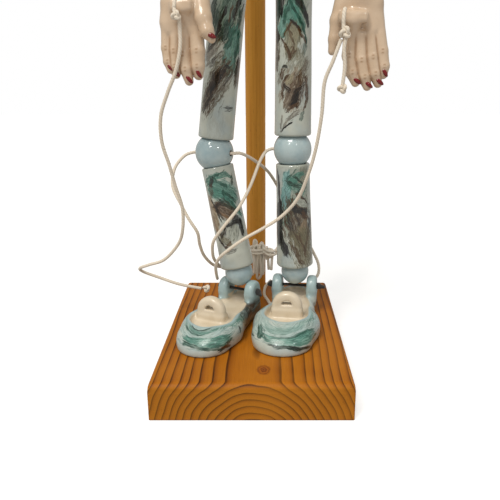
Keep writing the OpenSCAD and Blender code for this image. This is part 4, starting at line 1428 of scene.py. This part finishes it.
# ---------------------------------------------------------------- stand
def add_base():
    """The board: long top edges rounded, short edges eased."""
    half_x, half_y, top = BASE_HIGH
    edge, ease = 3.0, 0.8
    outline = [(-half_x + ease, 0), (half_x - ease, 0)]
    outline += arc(half_x - ease, ease, ease, 270, 360, 4)
    outline += arc(half_x - edge, top - edge, edge, 0, 90, 8)
    outline += arc(-half_x + edge, top - edge, edge, 90, 180, 8)
    outline += arc(-half_x + ease, ease, ease, 180, 270, 4)
    outline = np.array(outline)
    middle = np.array([0, top / 2])
    rows = []
    fall = 5.0
    ends = [(half_y - fall + fall * math.sin(t), fall * (1 - math.cos(t)))
            for t in np.linspace(0, math.pi / 2, 8)]
    ends = [(y, drop, 0) for y, drop in ends[:-1]] + [(half_y - 0.2, fall, 0.4), (half_y, fall + 1, ease)]
    for y, drop, inset in [(-y, drop, inset) for y, drop, inset in ends[::-1]] + ends:
        scale = np.array([1 - inset / half_x, 1 - 2 * inset / top])
        ring = middle + (outline - middle) * scale
        high = np.clip((ring[:, 1] - top / 2) / (top / 2), 0, 1)
        rows.append(np.stack([ring[:, 0], np.full(len(ring), y), ring[:, 1] - drop * high], axis=1))
    count = len(outline)
    points = np.vstack(rows)
    faces = grid_faces(len(rows), count)
    faces += [tuple(range(count))[::-1], tuple((len(rows) - 1) * count + k for k in range(count))]
    piece = make_piece("pine_board", points, faces, pine(), body="root", nodes=["base_block"], slot="pine",
                       smooth=False)
    for polygon in piece.data.polygons:
        polygon.use_smooth = len(polygon.vertices) == 4
    weighted = piece.modifiers.new("weighted", "WEIGHTED_NORMAL")
    weighted.keep_sharp = True


def add_post(material):
    """The dowel, with a bevelled top and the peg's hole left to the CAD peg, which runs through it."""
    radius, top, foot = POST_R, POST_HIGH[2], POST_LOW[2]
    profile = [(0.01, foot), (radius - 0.4, foot), (radius, foot + 0.6)]
    profile += [(radius, z) for z in np.linspace(foot + 2, top - 3.4, 12)]
    profile += arc(radius - 3, top - 3, 3, 0, 80, 6)
    profile += [(0.01, top)]
    profile = np.array(profile)
    sides = 64
    angle = np.linspace(0, 2 * np.pi, sides, endpoint=False)
    points = np.stack([POST_AXIS[0] + profile[:, :1] * np.cos(angle),
                       POST_AXIS[1] + profile[:, :1] * np.sin(angle),
                       profile[:, 1:] + 0 * angle], axis=-1).reshape(-1, 3)
    make_piece("post_dowel", points, grid_faces(len(profile), sides), material, body="root", nodes=["post"],
               slot="dowel")


# ---------------------------------------------------------------- cords
# The routes repeat part.scad's points, in millimetres.
RIGHT_HAND_ROUTE = [
    (-48, -38, 264), (-48, -38, 246), (-52, -36, 230), (-59, -33, 215), (-65, -30, 199), (-66, -26, 181),
    (-62, -22, 163), (-59, -18, 147), (-55, -14, 129), (-56, -10, 111), (-61, -4, 97), (-74, 2, 82),
    (-88, 6, 76), (-97, 12, 71), (-96, 20, 65), (-84, 23, 59), (-66, 22, 53), (-47, 22, 49)]
RIGHT_KNEE_OUTER_ROUTE = [
    (-49, 29.5, 167), (-58, 29, 164), (-66, 24, 154), (-67, 17, 140), (-60, 12, 126), (-54, 9, 115),
    (-47, 9, 103), (-46, 14, 91), (-43, 22, 78), (-35, 36, 65), (-20, 48, 60), (-4, 56, 58)]
RIGHT_KNEE_INNER_ROUTE = [
    (-16.5, 14.5, 167.5), (-10, 17, 167), (0, 28, 160), (11, 42, 149), (20, 50, 134), (33, 54, 110),
    (46, 52, 86), (53, 48, 73), (57, 45, 64), (57, 42, 56), (53, 40, 50)]
LEFT_KNEE_ROUTE = [
    (14, 28.8, 169.5), (9, 27, 167), (4, 20, 159), (-3, 10, 142), (-12, 3, 126), (-24, 0, 111),
    (-33, 2, 98), (-35, 10, 85), (-34, 22, 74), (-28, 38, 62), (-14, 48, 55), (-2, 54, 51)]
LEFT_HAND_ROUTE = [
    (60, -40, 250), (55, -39, 236), (50, -36, 222), (49, -32, 200), (46, -26, 176), (41, -20, 155),
    (34, -13, 136), (22, -8, 121), (8, -6, 111), (-8, -7, 102), (-20, -6, 93), (-28, -2, 85), (-32, 5, 76),
    (-33, 15, 66), (-33, 25, 57)]
LEFT_TAIL_ROUTE = [(63, -41, 251), (62, -41, 244), (63, -40, 232), (62, -39, 220)]
BASE_ROUTE = [(14, 56, 44), (9, 50, 40), (8, 43, 35), (12, 36, 31), (13, 29, 29.4), (9, 22, 29.4)]


def add_hand_cord(side, route, heights, material):
    """A hand's cord in stretches. Three cross a joint of the arm each; the last keeps to the stand."""
    line = smooth_route(route)
    node = f"{side}_hand_cord"
    starts = [0] + [int(np.argmax(line[:, 2] <= height)) for height in heights]
    for number in range(3):
        stretch = line[starts[number]:starts[number + 1] + 1]
        piece = add_cord(f"{node}_{number + 1}", stretch, material, nodes=[node])
        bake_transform(piece)
    stretch = line[starts[3]:]
    add_cord(f"{node}_4", stretch, material, body="root", nodes=[node])


def add_knee_cord(name, route, side, material):
    """A cord from a knee bead to the post."""
    knee = centre(f"{side}_knee_bead")
    out = math.copysign(bead_radius(f"{side}_knee_bead") - 2, route[0][0] - knee[0])
    lead = knee + out * np.array([math.cos(YAW[side]), -math.sin(YAW[side]), 0])
    line = smooth_route([tuple(lead)] + route)
    piece = add_cord(f"{name}_yarn", line, material, nodes=[name])
    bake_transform(piece)


def hand_loop(side, knot):
    """The loop of cord round the hand's cross bar: up one side of it, over, and down behind it."""
    bar = centre(f"{side}_wrist_bead") + np.array(BAR[side][0])
    x, y, top = knot[0], bar[1], bar[2] + 3.6
    return [(x - 0.8, knot[1], knot[2] + 1), (x - 1.2, y - 4.6, knot[2] + 5), (x - 1.2, y - 4.8, bar[2] - 1),
            (x - 0.4, y - 2.6, top + 0.8), (x + 0.6, y + 2.4, top + 0.2), (x + 1.6, y + 3.4, top - 2)]


def add_cords(white, pale):
    for name, route, side, lower in (
            ("right_knee_cord_outer", RIGHT_KNEE_OUTER_ROUTE, "right", 95),
            ("right_knee_cord_inner", RIGHT_KNEE_INNER_ROUTE, "right", 110),
            ("left_knee_cord", LEFT_KNEE_ROUTE, "left", 112)):
        add_knee_cord(name, route, side, white)
    add_hand_cord("right", RIGHT_HAND_ROUTE, (225, 175, 120), white)
    add_hand_cord("left", LEFT_HAND_ROUTE, (205, 160, 118), white)
    tail_end = np.array(LEFT_TAIL_ROUTE[-1]) - (0, 0, 2)
    tail_knot = add_knot("left_tail_knot_yarn", tail_end, 3.6, white, "left_hand", ["left_tail_knot"])
    add_cord("left_hand_tail_yarn", smooth_route(LEFT_TAIL_ROUTE), white, body="left_hand",
             nodes=["left_hand_tail"], far_end="knot", with_pieces=[tail_knot])
    for side in SIDES:
        where = centre(f"{side}_hand_knot") + ((-1.5, 0, -4) if side == "right" else (-0.8, 0, -2.6))
        size = bead_radius(f"{side}_hand_knot") + 0.4
        add_knot(f"{side}_hand_knot_yarn", where, size, white, f"{side}_hand", [f"{side}_hand_knot"], 0.9)
        loop = smooth_route(hand_loop(side, where), 0.6)
        add_cord(f"{side}_hand_loop", loop, white, declare=False, body=f"{side}_hand")
    add_knot("right_foot_knot_yarn", centre("right_foot_knot"), 3.6, white, "root", ["right_foot_knot"], 0.2)
    add_cord("base_cord_yarn", smooth_route(BASE_ROUTE), white, body="root", nodes=["base_cord"], lay="loose")
    add_post_wrap(pale)
    add_hank(pale)


def add_post_wrap(pale):
    """Turns of cord wound round the post, in two layers."""
    foot = corners("post_wrap")[0][2]
    for layer, turns in enumerate((4, 3)):
        radius = POST_R + CORD_D * (layer + 0.56)
        t = np.linspace(0, turns * 2 * np.pi, turns * 48)
        height = foot + 1.6 + layer * 1.4 + t / (2 * np.pi) * 2.9
        line = np.stack([POST_AXIS[0] + radius * np.cos(t), POST_AXIS[1] + radius * np.sin(t), height],
                        axis=1)
        nodes = ["post_wrap"] if layer == 0 else []
        add_cord(f"post_wrap_layer_{layer + 1}", line, pale, lay="coiled", body="root", nodes=nodes)


def fold_route(low, high, runs, step, phase):
    """A cord folded to and fro between two heights, each run a little different."""
    points = []
    for run in range(runs):
        x, y = low[0] + run * step, low[1]
        bottom = low[2] + 3.4 * abs(math.sin(run * 1.9 + phase))
        top = high - 2.6 * abs(math.sin(run * 2.3 + phase))
        lean = 0.6 * math.sin(run * 2.7 + phase * 2)
        ends = [(x + lean, y + 0.6 * math.sin(run * 2.1 + phase), bottom), (x, y - 0.4, (low[2] + high) / 2),
                (x - lean, y + 0.5 * math.cos(run * 1.7), top)]
        upward = run % 2 == 0
        points += ends if upward else ends[::-1]
        if run < runs - 1:
            points.append((x + step / 2, y + 0.5, top + 1.8 if upward else bottom - 1.8))
    return points


def add_hank(pale):
    """Cord folded into a loose hank by the post: a thick part, a thin part and strands between them."""
    low, high = corners("cord_hank")
    left, front, top = low[0] + 1.4, low[1] + 1.8, high[2]
    thick_back = fold_route((left - 0.6, front + 3.2, low[2] + 3.4), top - 2, 4, 2.8, 0)
    thick_front = fold_route((left, front, low[2] + 1.4), top - 4, 4, 2.75, 1.3)
    thin = fold_route((high[0] - 5, front + 1, low[2] + 6), top - 9, 2, 3.4, 0.7)
    t = np.linspace(0, 5 * np.pi, 100)
    tie = np.stack([left + 3.4 + 6.6 * np.cos(t), front + 1.6 + 4.8 * np.sin(t), top - 13 + 0.45 * t], axis=1)
    lines = {"row_1": smooth_route(thick_back, 0.7), "row_2": smooth_route(thick_front, 0.7),
             "row_3": smooth_route(thin, 0.7), "tie": tie}
    for number, level in enumerate((top, top - 3.4)):
        strand = [(left + 7, front - 2.2, level - 5), (left + 11, front - 2.8, level - 8),
                  (left + 16, front - 2, level - 9.4), (left + 20, front + 1, level - 8.6),
                  (left + 21, front + 6, level - 8.4)]
        lines[f"strand_{number + 1}"] = smooth_route(strand, 0.7)
    for name, line in lines.items():
        nodes = ["cord_hank"] if name == "row_1" else []
        add_cord(f"cord_hank_{name}", line, pale, declare=False, body="root", nodes=nodes)


# ---------------------------------------------------------------- the whole puppet
def paint_cad_nodes(white, black, dowel_material):
    """Better materials for the CAD parts that are shown as they are."""
    looks = {"post_screw": steel(), "support_peg": dowel_material}
    for name, obj in frame["nodes"].items():
        if name.endswith("ankle_cord"):
            looks[name] = black
        elif name.endswith(("arm_cord", "thigh_cord", "shin_cord")):
            looks[name] = white
        if name in looks:
            obj.data.materials.clear()
            obj.data.materials.append(looks[name])


def build():
    add_camera()
    add_stage()
    white = cord_material("white_cord", rgb(232, 221, 204), rgb(176, 160, 138))
    black = cord_material("black_cord", rgb(34, 32, 30), rgb(12, 12, 12))
    # The hank's and the wrap's cord: the white cord's colours made brighter, painted light that offsets the
    # shade they lie in.
    pale = cord_material("painted_light_cord", rgb(252, 244, 230), rgb(214, 200, 180))
    add_cords(white, pale)
    dowel_material = dowel()
    add_base()
    add_post(dowel_material)
    add_limbs_and_beads()
    for number, side in enumerate(SIDES):
        add_shoe(side, 21 + number)
    for side, sign, length in (("right", 1, 4.4), ("left", -1, 3.2), ("left", 1, 6)):
        add_ankle_knot(side, sign, length, black)
    clay, polish = clay_glaze(), nail_polish()
    for side in SIDES:
        add_hand(side, clay, polish)
    add_head()
    add_torso()
    paint_cad_nodes(white, black, dowel_material)


build()
